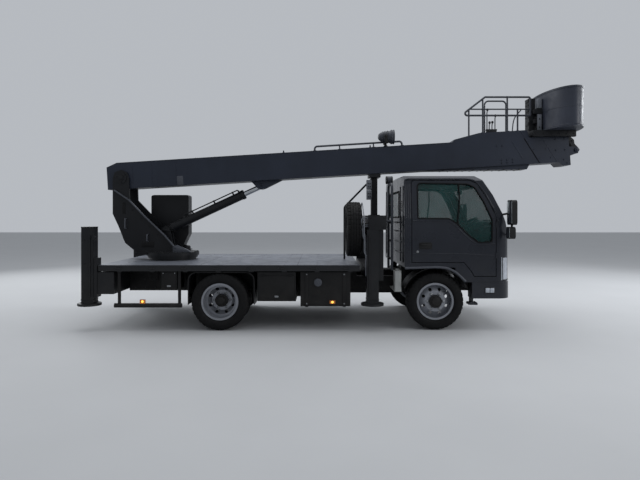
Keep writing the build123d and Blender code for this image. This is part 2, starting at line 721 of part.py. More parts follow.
def mirrors():
    """Rear-view mirrors on arms from the front corners."""
    heads = [Pos(*place) * Box(*size) for place, size in (
        (MIRROR_AT, MIRROR_SIZE), (LOW_MIRROR_AT, LOW_MIRROR_SIZE))]
    head, low = [fillet(case.edges().filter_by(Axis.X), MIRROR_CORNER_R) for case in heads]
    top_arm = pipe(MIRROR_ARM, MIRROR_ARM_R, 40)
    low_arm = pipe(LOW_MIRROR_ARM, MIRROR_ARM_R, 30)
    link = rod((2075, -1090, 1310), (2075, -1090, 1380), MIRROR_ARM_R + 1)
    return pair(whole([head, low, top_arm, low_arm, link]) - cab_form(0))


# Body

def bearer_places():
    """Middles of the cross bearers, evenly spaced along the deck."""
    first, last = DECK_REAR_X + 260, DECK_FRONT_X - 120
    return [first + (last - first) * count / (BEARERS - 1) for count in range(BEARERS)]


def deck():
    """Flat deck: a skin with an edge rail all round on cross bearers."""
    x = (DECK_REAR_X, DECK_FRONT_X)
    skin = block(x, (-DECK_HALF_W, DECK_HALF_W), (DECK_TOP - DECK_SKIN, DECK_TOP))
    rail_z = (DECK_TOP - DECK_RAIL_H, DECK_TOP)
    rail = block(x, (DECK_HALF_W - DECK_RAIL_W, DECK_HALF_W), rail_z)
    ends = [block((DECK_REAR_X, DECK_REAR_X + DECK_RAIL_W), (-DECK_HALF_W, DECK_HALF_W), rail_z),
            block((DECK_FRONT_X - DECK_RAIL_W, DECK_FRONT_X), (-DECK_HALF_W, DECK_HALF_W), rail_z)]
    bearers = []
    for middle in bearer_places():
        bearers.append(block((middle - BEARER_W / 2, middle + BEARER_W / 2),
                             (-DECK_HALF_W + 20, DECK_HALF_W - 20), (SILL_TOP, DECK_TOP - DECK_SKIN)))
    solid = whole([skin, rail, mirrored(rail), *ends, *bearers])
    well = rod((SLEW_X, 0, SILL_TOP - 10), (SLEW_X, 0, DECK_TOP + 10), PEDESTAL_R + WELL_GAP)
    socket = rod((*STAY_FOOT, DECK_TOP - STAY_SOCKET), (*STAY_FOOT, DECK_TOP + 10), STAY_R + FIT)
    return solid - well - socket


def rear_fenders():
    """Bent mudguards over the twin wheels, hung from the deck's bearers."""
    def arch(inset, low):
        x_low, x_high = FENDER_X
        form = block((x_low + inset, x_high - inset), FENDER_Y, (low, SILL_TOP - inset))
        corners = form.edges().filter_by(Axis.Y).sort_by(Axis.Z)[-2:]
        return fillet(corners, FENDER_CORNER_R - inset)

    return pair(arch(0, FENDER_LOW) - arch(FENDER_T, FENDER_LOW - 10))


def side_guards():
    """Lower rail with its hangers behind the rear wheel, on both sides."""
    y = GUARD_Y
    shapes = [rod((FRAME_REAR_X, -y, GUARD_Z), (GUARD_FRONT_X, -y, GUARD_Z), GUARD_R)]
    first = bearer_places()[0]
    for x, top in ((first, SILL_TOP), (GUARD_FRONT_X - 28, DECK_TOP - DECK_RAIL_H)):
        shapes.append(block((x - 18, x + 18), (-y - 9, -y + 9), (GUARD_Z, top)))
    return pair(whole(shapes))


def side_boxes():
    """Tool box, tanks and battery box that hang under the deck."""
    shapes = []
    # x low, x high, z low, z high, inner y, corner radius
    for x_low, x_high, low, high, inner, corner in (
        (FENDER_X[0] - 340, FENDER_X[0] - 137, 515, DECK_TOP - DECK_RAIL_H, 600, 12),
        (FENDER_X[1] + 39, FENDER_X[1] + 529, 372, SILL_TOP, 500, 25),
        (DECK_FRONT_X - 757, DECK_FRONT_X - 117, 305, SILL_TOP, 500, 40),
    ):
        case = block((x_low, x_high), (-BOX_Y, -inner), (low, high))
        case = fillet(case.edges().filter_by(Axis.X).sort_by(Axis.Z)[:2], corner)
        shapes.append(case)
    cap_x = DECK_FRONT_X - 532
    cap = rod((cap_x, -BOX_Y + 1, 617), (cap_x, -BOX_Y - 20, 617), 46)
    near = [shapes[0], shapes[1], shapes[2] + cap]
    return [*near, *[mirrored(shape) for shape in shapes]]


def front_portal():
    """Front jack columns tied by a low cross tube and by the beam that carries the boom rest."""
    x = (FRONT_COLUMN_X, FRONT_COLUMN_X + COLUMN_W)
    y = (JACK_OUT_Y - COLUMN_W, JACK_OUT_Y)
    column = block(x, y, (COLUMN_LOW, FRONT_COLUMN_TOP))
    beam_z = (FRONT_COLUMN_TOP, FRONT_COLUMN_TOP + REST_BEAM_H)
    beam = block((FRONT_COLUMN_X + 20, REST_BEAM_FRONT), (-JACK_OUT_Y, JACK_OUT_Y), beam_z)
    tube = block(x, (-y[0], y[0]), (RAIL_TOP, RAIL_TOP + 140))
    gusset = block((x[1], x[1] + 62), (y[0] + 30, y[1] - 30), (RAIL_TOP, FRONT_COLUMN_TOP))
    solid = whole([column, mirrored(column), beam, tube, gusset, mirrored(gusset)])
    for side in (-1, 1):
        solid -= leg_bore(sum(x) / 2, side)
    return solid


def leg_bore(x, side):
    y = side * (JACK_OUT_Y - COLUMN_W / 2)
    half = LEG_W / 2 + FIT
    return block((x - half, x + half), (y - half, y + half), (0, LEG_TOP + 40))


def rear_columns():
    """Rear jack columns, bolted behind the ends of the rear cross tube."""
    x = (REAR_COLUMN_X, REAR_COLUMN_X + COLUMN_W)
    y = (JACK_OUT_Y - COLUMN_W, JACK_OUT_Y)
    column = block(x, y, (COLUMN_LOW, REAR_COLUMN_TOP))
    tube_rear = FRAME_REAR_X - 210
    flange = block((x[1], tube_rear), (y[0] + 10, y[1] - 10), (430, 930))
    tube = block((tube_rear, FRAME_REAR_X), (-y[1] + 20, y[1] - 20), (470, SILL_TOP))
    solid = whole([column, mirrored(column), flange, mirrored(flange), tube])
    solid -= block((DECK_REAR_X - 2, 0), (-1100, 1100), (SILL_TOP, 1200))
    for side in (-1, 1):
        solid -= leg_bore(sum(x) / 2, side)
    return solid


def jack_leg(x, side):
    """Square inner leg with its round foot pad."""
    y = side * (JACK_OUT_Y - COLUMN_W / 2)
    leg = block((x - LEG_W / 2, x + LEG_W / 2), (y - LEG_W / 2, y + LEG_W / 2),
                (PAD_Z + PAD_T, LEG_TOP))
    pad = rod((x, y, PAD_Z), (x, y, PAD_Z + PAD_T), PAD_R)
    pad &= block((x - 200, x + 200), (y - 200, y + 200), (0, 500))
    return leg + pad


def boom_point(u, w):
    """Place on the truck of a point that is u along and w above the boom's pivot line."""
    tilt = radians(BOOM_SLOPE)
    return PIVOT_X + u * cos(tilt) - w * sin(tilt), PIVOT_Z + u * sin(tilt) + w * cos(tilt)


def boom_rest():
    """Post and padded head under the stowed boom, with its stay down to the deck."""
    foot = FRONT_COLUMN_TOP + REST_BEAM_H
    run = REST_POST_X - PIVOT_X
    u = run / cos(radians(BOOM_SLOPE))
    head_z = boom_point(u, BOOM_LOW)[1] - REST_GAP
    half = REST_POST_W / 2
    post = block((REST_POST_X - half, REST_POST_X + half), (-half, half), (foot, head_z - 40))
    slope = sin(radians(BOOM_SLOPE)) / cos(radians(BOOM_SLOPE))
    reach = 80
    head = side_plate([(REST_POST_X - reach, head_z - 46), (REST_POST_X + reach, head_z - 46),
                       (REST_POST_X + reach, head_z + reach * slope),
                       (REST_POST_X - reach, head_z - reach * slope)], (-BOOM_HALF_W, BOOM_HALF_W))
    foot_x, stay_y = STAY_FOOT
    stay = pipe([(REST_POST_X - half + 4, stay_y, head_z - 70), (foot_x, stay_y, head_z - 470),
                 (foot_x, stay_y, DECK_TOP - STAY_SOCKET)], STAY_R, 60)
    return whole([post, head, stay])


CONTROL_BOX_D = 68.0
CONTROL_BOX_Y = (-122.0, -4.0)
CONTROL_BOX_Z = ((1705.0, 1842.0), (1850.0, 1988.0))


def control_boxes():
    """Two switch boxes on the rear face of the rest's post."""
    face = REST_POST_X - REST_POST_W / 2
    return [fillet(block((face - CONTROL_BOX_D, face), CONTROL_BOX_Y, z).edges().filter_by(Axis.X), 10)
            for z in CONTROL_BOX_Z]


TANK_X, TANK_Y, TANK_Z = (632.0, 722.0), (-900.0, -760.0), (502.0, 757.0)
TANK_SHELF_T = 12.0
TANK_CAP = (24.0, 21.0)      # radius, height


def coolant_tank():
    """Expansion tank behind the front wheel, on a bracket from the side rail."""
    tank = block(TANK_X, TANK_Y, TANK_Z)
    tank = fillet(tank.edges().filter_by(Axis.Z), 18)
    base, top = TANK_Z
    shelf = block(TANK_X, (TANK_Y[0], -RAIL_Y), (base - TANK_SHELF_T, base))
    x, y = sum(TANK_X) / 2, sum(TANK_Y) / 2
    cap = rod((x, y, top - 1), (x, y, top + TANK_CAP[1]), TANK_CAP[0])
    return whole([tank, shelf, cap])


EXHAUST_Y, EXHAUST_Z, EXHAUST_R = 220.0, 345.0, 30.0
SILENCER_X, SILENCER_R = (-950.0, -450.0), 85.0
TAIL_PIPE_X = -1210.0


def exhaust_pipe():
    """Down pipe, silencer and tail pipe under the left rail."""
    y, z, r = EXHAUST_Y, EXHAUST_Z, EXHAUST_R
    rear, front = SILENCER_X
    top_x = ENGINE_X[0] + 60
    down = pipe([(top_x, y, ENGINE_LOW), (top_x, y, z), (front - 30, y, z)], r, 50)
    silencer = rod((rear, y, z), (front, y, z), SILENCER_R)
    silencer = chamfer(silencer.edges().filter_by(GeomType.CIRCLE), 14)
    tail = rod((TAIL_PIPE_X, y, z), (rear + 10, y, z), r)
    stirrups = [block((x - 15, x + 15), (y - 14, y + 14), (z, RAIL_LOW + RAIL_T))
                for x in CROSS_MEMBER_X[:2]]
    return whole([down, silencer, tail, *stirrups])


SPARE_AT = (118.0, -612.0, 1290.0)
SPARE_PLATE = (128.0, 12.0)     # radius and thickness of the clamp plate


def spare_wheel():
    """Spare wheel upright on its carrier behind the near-side front column."""
    x, y, z = SPARE_AT
    place = Pos(x, y, z) * Rot(0, 0, -90)
    rubber = place * tyre(0)
    disc = place * rim(0, SPARE_DISH, 1)
    beam_face = FRONT_COLUMN_X + 20
    hub_face = x + SPARE_DISH
    spigot = rod((x, y, z), (beam_face, y, z), HUB_R)
    radius, thick = SPARE_PLATE
    plate = rod((hub_face + RIM_T, y, z), (hub_face + RIM_T + thick, y, z), radius)
    post = block((beam_face - 60, beam_face), (y - 45, y + 45), (z - 60, FRONT_COLUMN_TOP + 60))
    return rubber, disc, whole([spigot, plate, post])


LADDER_X, LADDER_Y, LADDER_TOP = 610.0, (-820.0, -470.0), 1890.0
LADDER_R = 17.0
RUNG_Z = (900.0, 1140.0, 1380.0, 1620.0)
RUNG_R = 13.0
WORK_LAMP_Y, WORK_LAMP_R = -560.0, 52.0


def boarding_ladder():
    """Ladder frame behind the cab, tied to the boom-rest beam, with a work lamp on top."""
    x, top = LADDER_X, LADDER_TOP
    right, left = LADDER_Y
    tie_z = FRONT_COLUMN_TOP + 110
    low_z = RAIL_TOP + 120
    stiles = pipe([(x, right, low_z), (x, right, top), (x, left, top), (x, left, low_z)], LADDER_R, 70)
    rungs = [rod((x, right, z), (x, left, z), RUNG_R) for z in RUNG_Z]
    ties = [rod((REST_BEAM_FRONT, y, tie_z), (x, y, tie_z), LADDER_R - 2) for y in LADDER_Y]
    y, lamp_x, lamp_z = WORK_LAMP_Y, x - 6, top + 62
    stem = rod((x, y, top), (lamp_x, y, lamp_z), 9)
    lamp = rod((lamp_x + 44, y, lamp_z), (lamp_x - 34, y, lamp_z), WORK_LAMP_R)
    return whole([stiles, *rungs, *ties, stem, lamp])


def marker_lamps():
    """Amber side lamps under the deck and the tail lamp clusters."""
    shapes = []
    tube_rear = FRAME_REAR_X - 210
    for side in (-1, 1):
        y = sorted((side * 520, side * 760))
        shapes.append(block((tube_rear - 46, tube_rear), y, (560, 672)))
    rail_x, tank_x = FRAME_REAR_X + 326, DECK_FRONT_X - 382
    on_rail = block((rail_x, rail_x + 68), (GUARD_Y - 14, GUARD_Y + 14),
                    (GUARD_Z + GUARD_R - 4, GUARD_Z + GUARD_R + 46))
    on_rail -= rod((rail_x - 10, GUARD_Y, GUARD_Z), (rail_x + 90, GUARD_Y, GUARD_Z), GUARD_R)
    on_tank = block((tank_x, tank_x + 68), (BOX_Y, BOX_Y + 20), (348, 386))
    return [*shapes, *pair(on_rail), *pair(on_tank)]


# Turret and boom

def slew_base():
    """Pedestal through the deck that carries the slewing ring."""
    drum = ring((SLEW_X, 0, SILL_TOP), (SLEW_X, 0, PEDESTAL_TOP), PEDESTAL_R, 190 + FIT)
    flange = ring((SLEW_X, 0, PEDESTAL_TOP - 30), (SLEW_X, 0, PEDESTAL_TOP), TURNTABLE_R, 200)
    box = block((SLEW_X - 330, SLEW_X + 330), (-RAIL_Y + RAIL_W, RAIL_Y - RAIL_W),
                (RAIL_TOP - 120, SILL_TOP))
    box &= rod((SLEW_X, 0, 0), (SLEW_X, 0, 1000), 460)
    return whole([drum, flange, box])


CHEEK_OUTLINE = [
    (-2385, 949.0), (-2385, 1010), (-2542, 1196), (-2827, 1467), (-3050, 1700), (-3060, 2010),
    (-3090, 2092), (-3176, 2126), (-3262, 2092), (-3292, 2010), (-3292, 1500), (-3213, 1330),
    (-3113, 1082), (-2950, 949.0),
]


def turret():
    """Turntable with two raked cheeks, ribs between them, the boom pin and cylinder lugs."""
    low = PEDESTAL_TOP + FIT
    high = low + TURNTABLE_T
    table = rod((SLEW_X, 0, low), (SLEW_X, 0, high), TURNTABLE_R + 20)
    tail = block((-2960, SLEW_X), (-210, 210), (low + 12, high))
    spigot = rod((SLEW_X, 0, low - 80), (SLEW_X, 0, low + 10), 190)
    inner = BOOM_HALF_W + PLAY
    outline = [(x, max(z, high - 4)) for x, z in CHEEK_OUTLINE]
    cheek = side_plate(outline, (inner, inner + CHEEK_T))
    edge = outline[1:5]
    strip = edge + [(px - CHEEK_FLANGE_T, pz - CHEEK_FLANGE_T) for px, pz in reversed(edge)]
    face = -inner - CHEEK_T
    flange = side_plate(strip, (face - CHEEK_FLANGE, face + 5))
    rear_wall = side_plate([(-3140, 1120), (-3118, 1120), (-3240, 1480), (-3262, 1480)],
                           (-inner - 5, inner + 5))
    floor_wall = side_plate([(-2940, high - 4), (-2900, high - 4), (-3105, 1180), (-3130, 1140)],
                            (-inner - 5, inner + 5))
    web = side_plate([(-2800, high - 5), (-2770, high - 5), (-2905, 1330), (-2935, 1330)],
                     (-inner - 5, inner + 5))
    pin = rod((PIVOT_X, -inner - CHEEK_T - 16, PIVOT_Z), (PIVOT_X, inner + CHEEK_T + 16, PIVOT_Z),
              PIVOT_R)
    bosses = [rod((PIVOT_X, side * (inner + 5), PIVOT_Z), (PIVOT_X, side * (inner + CHEEK_T + 10),
              PIVOT_Z), PIVOT_R + 38) for side in (-1, 1)]
    lug = side_plate([(BARREL_X - 130, high - 5), (BARREL_X + 120, high - 5),
                      (BARREL_X + 62, BARREL_Z + 20), (BARREL_X, BARREL_Z + 66),
                      (BARREL_X - 62, BARREL_Z + 20)],
                     (EYE_W / 2 + 8, EYE_W / 2 + 34))
    pin_low = rod((BARREL_X, -EYE_W / 2 - 44, BARREL_Z), (BARREL_X, EYE_W / 2 + 44, BARREL_Z),
                  EYE_HOLE_R)
    return whole([table, tail, spigot, cheek, mirrored(cheek), flange, rear_wall, floor_wall, web,
                  pin, *bosses, lug, mirrored(lug), pin_low])


CASE_OUTLINE = [(-2860, 1010), (-2390, 1010), (-2300, 1200), (-2300, 1780), (-2860, 1780)]
CASE_W = 190.0


def turret_case():
    """Valve and hose casing on the far cheek, with the slewing motor beside it."""
    inner = BOOM_HALF_W + PLAY + CHEEK_T
    case = side_plate(CASE_OUTLINE, (inner, inner + CASE_W))
    case = fillet(case.edges().filter_by(Axis.Y), 30)
    high = PEDESTAL_TOP + FIT + TURNTABLE_T
    motor = rod((SLEW_X + 120, 262, high), (SLEW_X + 120, 262, 1010), 70)
    return whole([case, motor])


def on_boom(shape):
    """Move a piece that was drawn along X from the pivot to the stowed boom."""
    return Pos(PIVOT_X, 0, PIVOT_Z) * Rot(0, -BOOM_SLOPE, 0) * shape


def nose_u(middle, w):
    """Where a slanted section end stands at height w."""
    centre = (BOOM_LOW + BOOM_HIGH) / 2
    return middle - (w - centre) * NOSE_RAKE


def tube_section(rear, front, inset, wall):
    """A hollow boom section with a slanted front end, drawn in from the base section."""
    low, high, half = BOOM_LOW + inset, BOOM_HIGH - inset, BOOM_HALF_W - inset
    outline = [(rear, low), (nose_u(front, low), low), (nose_u(front, high), high), (rear, high)]
    solid = side_plate(outline, (-half, half))
    hollow = block((rear - 10, front + 400), (-half + wall, half - wall), (low + wall, high - wall))
    return solid - hollow


def shoes(rear, inset, wide):
    """Wear pads round the rear end of a section, that run in the section outside."""
    low, high, half = BOOM_LOW + inset, BOOM_HIGH - inset, BOOM_HALF_W - inset
    grow = wide - FIT
    outer = block((rear, rear + SHOE_L), (-half - grow, half + grow), (low - grow, high + grow))
    core = block((rear - 5, rear + SHOE_L + 5), (-half + 2, half - 2), (low + 2, high - 2))
    return outer - core


SECOND_INSET = BOOM_WALL + PLAY
THIRD_INSET = SECOND_INSET + SECOND_WALL + PLAY
CAP_U = (4770.0, 4800.0, 5160.0)
CAP_W = (225.0, 262.0, 335.0)
COLLAR_CAP_U = 5845.0
HANDRAIL_U = (2790.0, 4050.0)
HANDRAIL_STAYS_U = (3150.0, 3640.0)
HANDRAIL_Y = -110.0
HANDRAIL_H = 64.0
HANDRAIL_R = 14.0
LAMP_FOOT_U = 3810.0
LAMP_START = (3709.0, -136.0, 367.0)     # back of the searchlight: along, across, above
LAMP_AXIS = (1.0, 0.0, -0.06)
LAMP_BELL = [(0, 0), (0, 20), (10, 42), (40, 64), (95, 79), (160, 85), (188, 99), (226, 100),
             (228, 92), (214, 86), (206, 0)]    # distance along the axis, radius
GUARD_SIDE_Y = 132.0
GUARD_RAIL_Z = (2913.0, 3003.0, 3178.0)  # low, middle and top rail
GUARD_REAR_X = (1700.0, 2044.0)          # rear end of the low rail and of the top rail
GUARD_END_X = 2694.0
GUARD_TUBE_R = 14.0
GUARD_POSTS = [(1811.0, 2985.0), (2011.0, 3140.0), (2364.0, 3178.0), (2512.0, 3003.0)]   # x, top
FAR_HOOP_X = (2120.0, 2440.0)


def nose_cap():
    """Raised cap on the top of the outer section, behind its slanted nose."""
    low, top = BOOM_HIGH - 5, CAP_W[2]
    outline = [(CAP_U[0], low), (CAP_U[1], CAP_W[1]), (CAP_U[2], top),
               (nose_u(BASE_NOSE, top), top), (nose_u(BASE_NOSE, low), low)]
    return side_plate(outline, (-BOOM_HALF_W, BOOM_HALF_W))


def boom_base():
    """Outer boom section with its pivot bosses and raised nose cap."""
    section = tube_section(BOOM_REAR, BASE_NOSE, 0, BOOM_WALL)
    cut_back = side_plate([(BOOM_REAR - 5, BOOM_HIGH + 5), (BOOM_REAR - 5, BOOM_HIGH - 60),
                           (BOOM_REAR + 160, BOOM_HIGH + 5)], (-200, 200))
    section -= cut_back
    collar_w = PLAY - FIT
    bosses = [rod((0, side * (BOOM_HALF_W - 5), 0), (0, side * (BOOM_HALF_W + collar_w), 0),
                  PIVOT_R + 38) for side in (-1, 1)]
    solid = whole([section, nose_cap(), *bosses])
    return on_boom(solid - rod((0, -400, 0), (0, 400, 0), PIVOT_R + FIT))


def boom_lugs():
    """Pieces welded under the outer section: cylinder lugs, rest shoe and hose tray."""
    under = BOOM_LOW
    tray = side_plate([(4300, under), (5780, under - 68), (5830, under - 68), (5870, under)],
                      (-110, 110))
    lug = side_plate([(1840, under), (LUG_U - 52, LUG_W - 40), (LUG_U, LUG_W - 52),
                      (LUG_U + 52, LUG_W - 40), (2300, under)],
                     (EYE_W / 2 + 6, EYE_W / 2 + 28))
    lug -= rod((LUG_U, 0, LUG_W), (LUG_U, 100, LUG_W), EYE_HOLE_R)
    shoe = block((3560, 3760), (-BOOM_HALF_W, BOOM_HALF_W), (under - SHOE_T, under))
    return [on_boom(shape) for shape in (tray, lug, mirrored(lug), shoe)]


def boom_second():
    """Middle section with its full-size nose collar."""
    tube = tube_section(SECOND_REAR, SECOND_NOSE, SECOND_INSET, SECOND_WALL)
    gap = NOSE_GAP
    top = BOOM_HIGH
    collar = side_plate([
        (nose_u(BASE_NOSE, BOOM_LOW) + gap, BOOM_LOW), (nose_u(SECOND_NOSE, BOOM_LOW), BOOM_LOW),
        (nose_u(SECOND_NOSE, top), top), (nose_u(BASE_NOSE, top) + gap, top)],
        (-BOOM_HALF_W, BOOM_HALF_W))
    high = CAP_W[2]
    collar += side_plate([
        (nose_u(BASE_NOSE, top - 5) + gap, top - 5), (nose_u(BASE_NOSE, high) + gap, high),
        (COLLAR_CAP_U, high), (COLLAR_CAP_U + 30, top - 5)], (-BOOM_HALF_W, BOOM_HALF_W))
    half = BOOM_HALF_W - SECOND_INSET - SECOND_WALL
    collar -= block((5000, 7000), (-half, half),
                    (BOOM_LOW + SECOND_INSET + SECOND_WALL, BOOM_HIGH - SECOND_INSET - SECOND_WALL))
    return on_boom(whole([tube, collar, shoes(SECOND_REAR, SECOND_INSET, PLAY)]))


def boom_third():
    """Inner section with the boom head and the lugs of the levelling pin."""
    tube = tube_section(THIRD_REAR, SECOND_NOSE + 60, THIRD_INSET, THIRD_WALL)
    gap = NOSE_GAP
    top, low = HEAD_TOP, BOOM_LOW - 50
    head = side_plate([
        (nose_u(SECOND_NOSE, BOOM_LOW) + gap, BOOM_LOW), (THIRD_NOSE - 110, low),
        (THIRD_NOSE, low), (THIRD_NOSE, top), (nose_u(SECOND_NOSE, top) + gap, top)],
        (-HEAD_HALF_W, HEAD_HALF_W))
    lug = side_plate([(THIRD_NOSE - 10, LEVEL_W - 90), (LEVEL_U + 10, LEVEL_W - 46),
                      (LEVEL_U + 46, LEVEL_W), (LEVEL_U + 10, LEVEL_W + 46),
                      (THIRD_NOSE - 10, LEVEL_W + 60)], (70, 92))
    pin = rod((LEVEL_U, -100, LEVEL_W), (LEVEL_U, 100, LEVEL_W), LEVEL_PIN_R)
    return on_boom(whole([tube, head, lug, mirrored(lug), pin,
                          shoes(THIRD_REAR, THIRD_INSET, PLAY)]))


def cap_height(u):
    """Height of the boom's top at u, over the step and slope of the nose cap."""
    if u < CAP_U[0]:
        return BOOM_HIGH
    for (u0, w0), (u1, w1) in zip(zip(CAP_U, CAP_W), zip(CAP_U[1:], CAP_W[1:])):
        if u < u1:
            return w0 + (w1 - w0) * (u - u0) / (u1 - u0)
    return CAP_W[-1]


def boom_top(x):
    """Height on the truck of the stowed boom's top at x."""
    tilt = radians(BOOM_SLOPE)
    u = (x - PIVOT_X) / cos(tilt)
    w = cap_height(u)
    u = (x - PIVOT_X + w * sin(tilt)) / cos(tilt)
    return boom_point(u, cap_height(u))[1]


def searchlight():
    """Bell-shaped searchlight on a short foot at the right edge of the boom's top."""
    face = make_face(Polyline(*[(radius, 0, along) for along, radius in LAMP_BELL], close=True))
    bell = Plane(origin=LAMP_START, z_dir=LAMP_AXIS) * revolve(face, axis=Axis.Z)
    _, y, w = LAMP_START
    return bell + rod((LAMP_FOOT_U, y, BOOM_HIGH), (LAMP_FOOT_U, y, w - 40), 12)


def boarding_guard():
    """Level tube guard beside the way into the bucket, and the single hoop across from it."""
    y, r, foot = -GUARD_SIDE_Y, GUARD_TUBE_R, 20
    low, mid, top = GUARD_RAIL_Z
    rear_low, rear_top = GUARD_REAR_X
    end = GUARD_END_X
    frame = pipe([(end, y, low), (rear_low, y, low), (rear_top, y, top), (end, y, top),
                  (end, y, mid)], r, 30)
    slant_x = rear_low + (rear_top - rear_low) * (mid - low) / (top - low)
    pieces = [frame, rod((slant_x, y, mid), (end, y, mid), r - 4), rod((end, y, low), (end, y, mid + 5), r)]
    for x, head in GUARD_POSTS:
        pieces.append(rod((x, y, boom_top(x) - foot), (x, y, head), r - 2))
    x_rear, x_front = FAR_HOOP_X
    hoop = pipe([(x_rear, -y, boom_top(x_rear) - foot), (x_rear, -y, top), (x_front, -y, top),
                 (x_front, -y, boom_top(x_front) - foot)], r - 2, 60)
    cap = on_boom(nose_cap())
    return [whole(pieces) - cap, hoop - cap]


def boom_rails():
    """Handrail and searchlight on the boom's top, and the guard at its nose."""
    top, r, y = BOOM_HIGH, HANDRAIL_R, HANDRAIL_Y
    start, end = HANDRAIL_U
    rail = pipe([(start, y, top), (start, y, top + HANDRAIL_H), (end, y, top + HANDRAIL_H),
                 (end, y, top)], r, 40)
    stays = [rod((u, y, top), (u, y, top + HANDRAIL_H), r - 4) for u in HANDRAIL_STAYS_U]
    return [on_boom(whole([rail, *stays])), on_boom(searchlight()), *boarding_guard()]


# Lift cylinder

def cylinder_frame():
    """Plane along the lift cylinder, from its lower pin towards the lug on the boom."""
    end_x, end_z = boom_point(LUG_U, LUG_W)
    reach = hypot(end_x - BARREL_X, end_z - BARREL_Z)
    angle = degrees(atan2(end_z - BARREL_Z, end_x - BARREL_X))
    return Pos(BARREL_X, 0, BARREL_Z) * Rot(0, -angle, 0), reach


def lift_barrel():
    place, _ = cylinder_frame()
    tube = ring((96, 0, 0), (BARREL_L - 40, 0, 0), BARREL_R, BARREL_R - 12)
    base = rod((84, 0, 0), (98, 0, 0), BARREL_R)
    neck = block((10, 90), (-EYE_W / 2, EYE_W / 2), (-44, 44))
    gland = ring((BARREL_L - 40, 0, 0), (BARREL_L, 0, 0), BARREL_R + 8, ROD_R + FIT)
    eye = rod((0, -EYE_W / 2, 0), (0, EYE_W / 2, 0), EYE_R + 10)
    solid = whole([tube, base, neck, gland, eye]) - rod((0, -60, 0), (0, 60, 0), EYE_HOLE_R + FIT)
    pipe_run = pipe([(300, 0, BARREL_R - 4), (300, 0, BARREL_R + 34), (BARREL_L - 60, 0,
                    BARREL_R + 34), (BARREL_L - 60, 0, BARREL_R - 4)], 9, 24)
    return place * (solid + pipe_run)


def lift_rod():
    place, reach = cylinder_frame()
    piston = rod((ROD_START, 0, 0), (ROD_START + PISTON_L, 0, 0), BARREL_R - 12 - FIT)
    shaft = rod((ROD_START, 0, 0), (reach - EYE_R + 8, 0, 0), ROD_R)
    eye = rod((reach, -EYE_W / 2, 0), (reach, EYE_W / 2, 0), EYE_R)
    solid = whole([piston, shaft, eye]) - rod((reach, -60, 0), (reach, 60, 0), EYE_HOLE_R + FIT)
    return place * solid


# Platform

def bucket_ring(grow, z):
    """Oval plan of the bucket at height z, grown outward."""
    return Pos(BUCKET_X, 0, z) * Ellipse(BUCKET_HALF_L + grow, BUCKET_HALF_W + grow)


def bucket_outside():
    return loft([bucket_ring(-BUCKET_TAPER, BUCKET_LOW), bucket_ring(-BUCKET_TOP_IN, BUCKET_TOP)])


def bucket():
    """Open tub with a rolled rim, a bottom flange and an inner floor."""
    stand_out, flange_h = BUCKET_FLANGE
    inner_top = -BUCKET_TOP_IN - BUCKET_WALL
    inside = loft([bucket_ring(-BUCKET_TAPER - BUCKET_WALL, BUCKET_LOW + BUCKET_FLOOR_T),
                   bucket_ring(inner_top, BUCKET_TOP + 0.1)])
    inside += extrude(bucket_ring(inner_top, BUCKET_TOP), amount=5)
    rim_lip = extrude(bucket_ring(0, BUCKET_TOP - BUCKET_RIM_H), amount=BUCKET_RIM_H)
    rim_lip -= extrude(bucket_ring(inner_top, BUCKET_TOP - BUCKET_RIM_H - 5), amount=BUCKET_RIM_H + 10)
    lip = extrude(bucket_ring(-BUCKET_TAPER + stand_out, BUCKET_LOW), amount=flange_h)
    return whole([bucket_outside(), lip, rim_lip]) - inside


def platform_bracket():
    """Levelled bracket: knuckle on the boom head, cradle under the bucket and the rear mast."""
    x, z = boom_point(LEVEL_U, LEVEL_W)
    low, top = BUCKET_LOW - CRADLE_T, BUCKET_LOW
    front_x = x - 70
    knuckle_plate = side_plate([(x + 34, z - 44), (x + 52, z), (x + 34, z + 44), (x - 14, z + 92),
                                (x - 22, z + 150), (front_x - 5, low + 6), (x - 128, low + 6),
                                (x - 60, z + 60), (x - 44, z - 10), (x - 20, z - 46)], (-62, 62))
    knuckle_plate -= rod((x, -90, z), (x, 90, z), LEVEL_PIN_R + FIT)
    rear_x, width = MAST_X - MAST_W / 2, (-CRADLE_Y[1], CRADLE_Y[1])
    arm = block((rear_x, front_x), CRADLE_Y, (CRADLE_LOW, top))
    crosses = [block(span, width, (low, top)) for span in ((rear_x, MAST_X + 25), (x - 128, front_x))]
    mast = block((rear_x, MAST_X + MAST_W / 2), (-MAST_HALF, MAST_HALF), (low, MAST_TOP))
    post = block(MAST_POST_X, MAST_POST_Y, (low, MAST_POST_TOP))
    foot = block((MAST_X, MAST_POST_X[1]), (MAST_HALF - 5, CRADLE_Y[1]), (low, top))
    wall = BUCKET_X - BUCKET_HALF_L
    ties = [block((MAST_X, wall + 30), (-MAST_POST_Y[1], MAST_POST_Y[1]), (h, h + MAST_TIE_H))
            for h in MAST_TIE_Z]
    return whole([knuckle_plate, *pair(arm), *crosses, mast, *pair(post), *pair(foot),
                  *ties]) - bucket_outside()


# Output

def save(name, shapes):
    shapes = shapes if isinstance(shapes, list) else [shapes]
    solids = [solid for shape in shapes for solid in shape.solids()]
    shape = solids[0] if len(solids) == 1 else Compound(solids)
    export_step(shape, f"parts/{name}.step")


SIDES = {"right": -1, "left": 1}


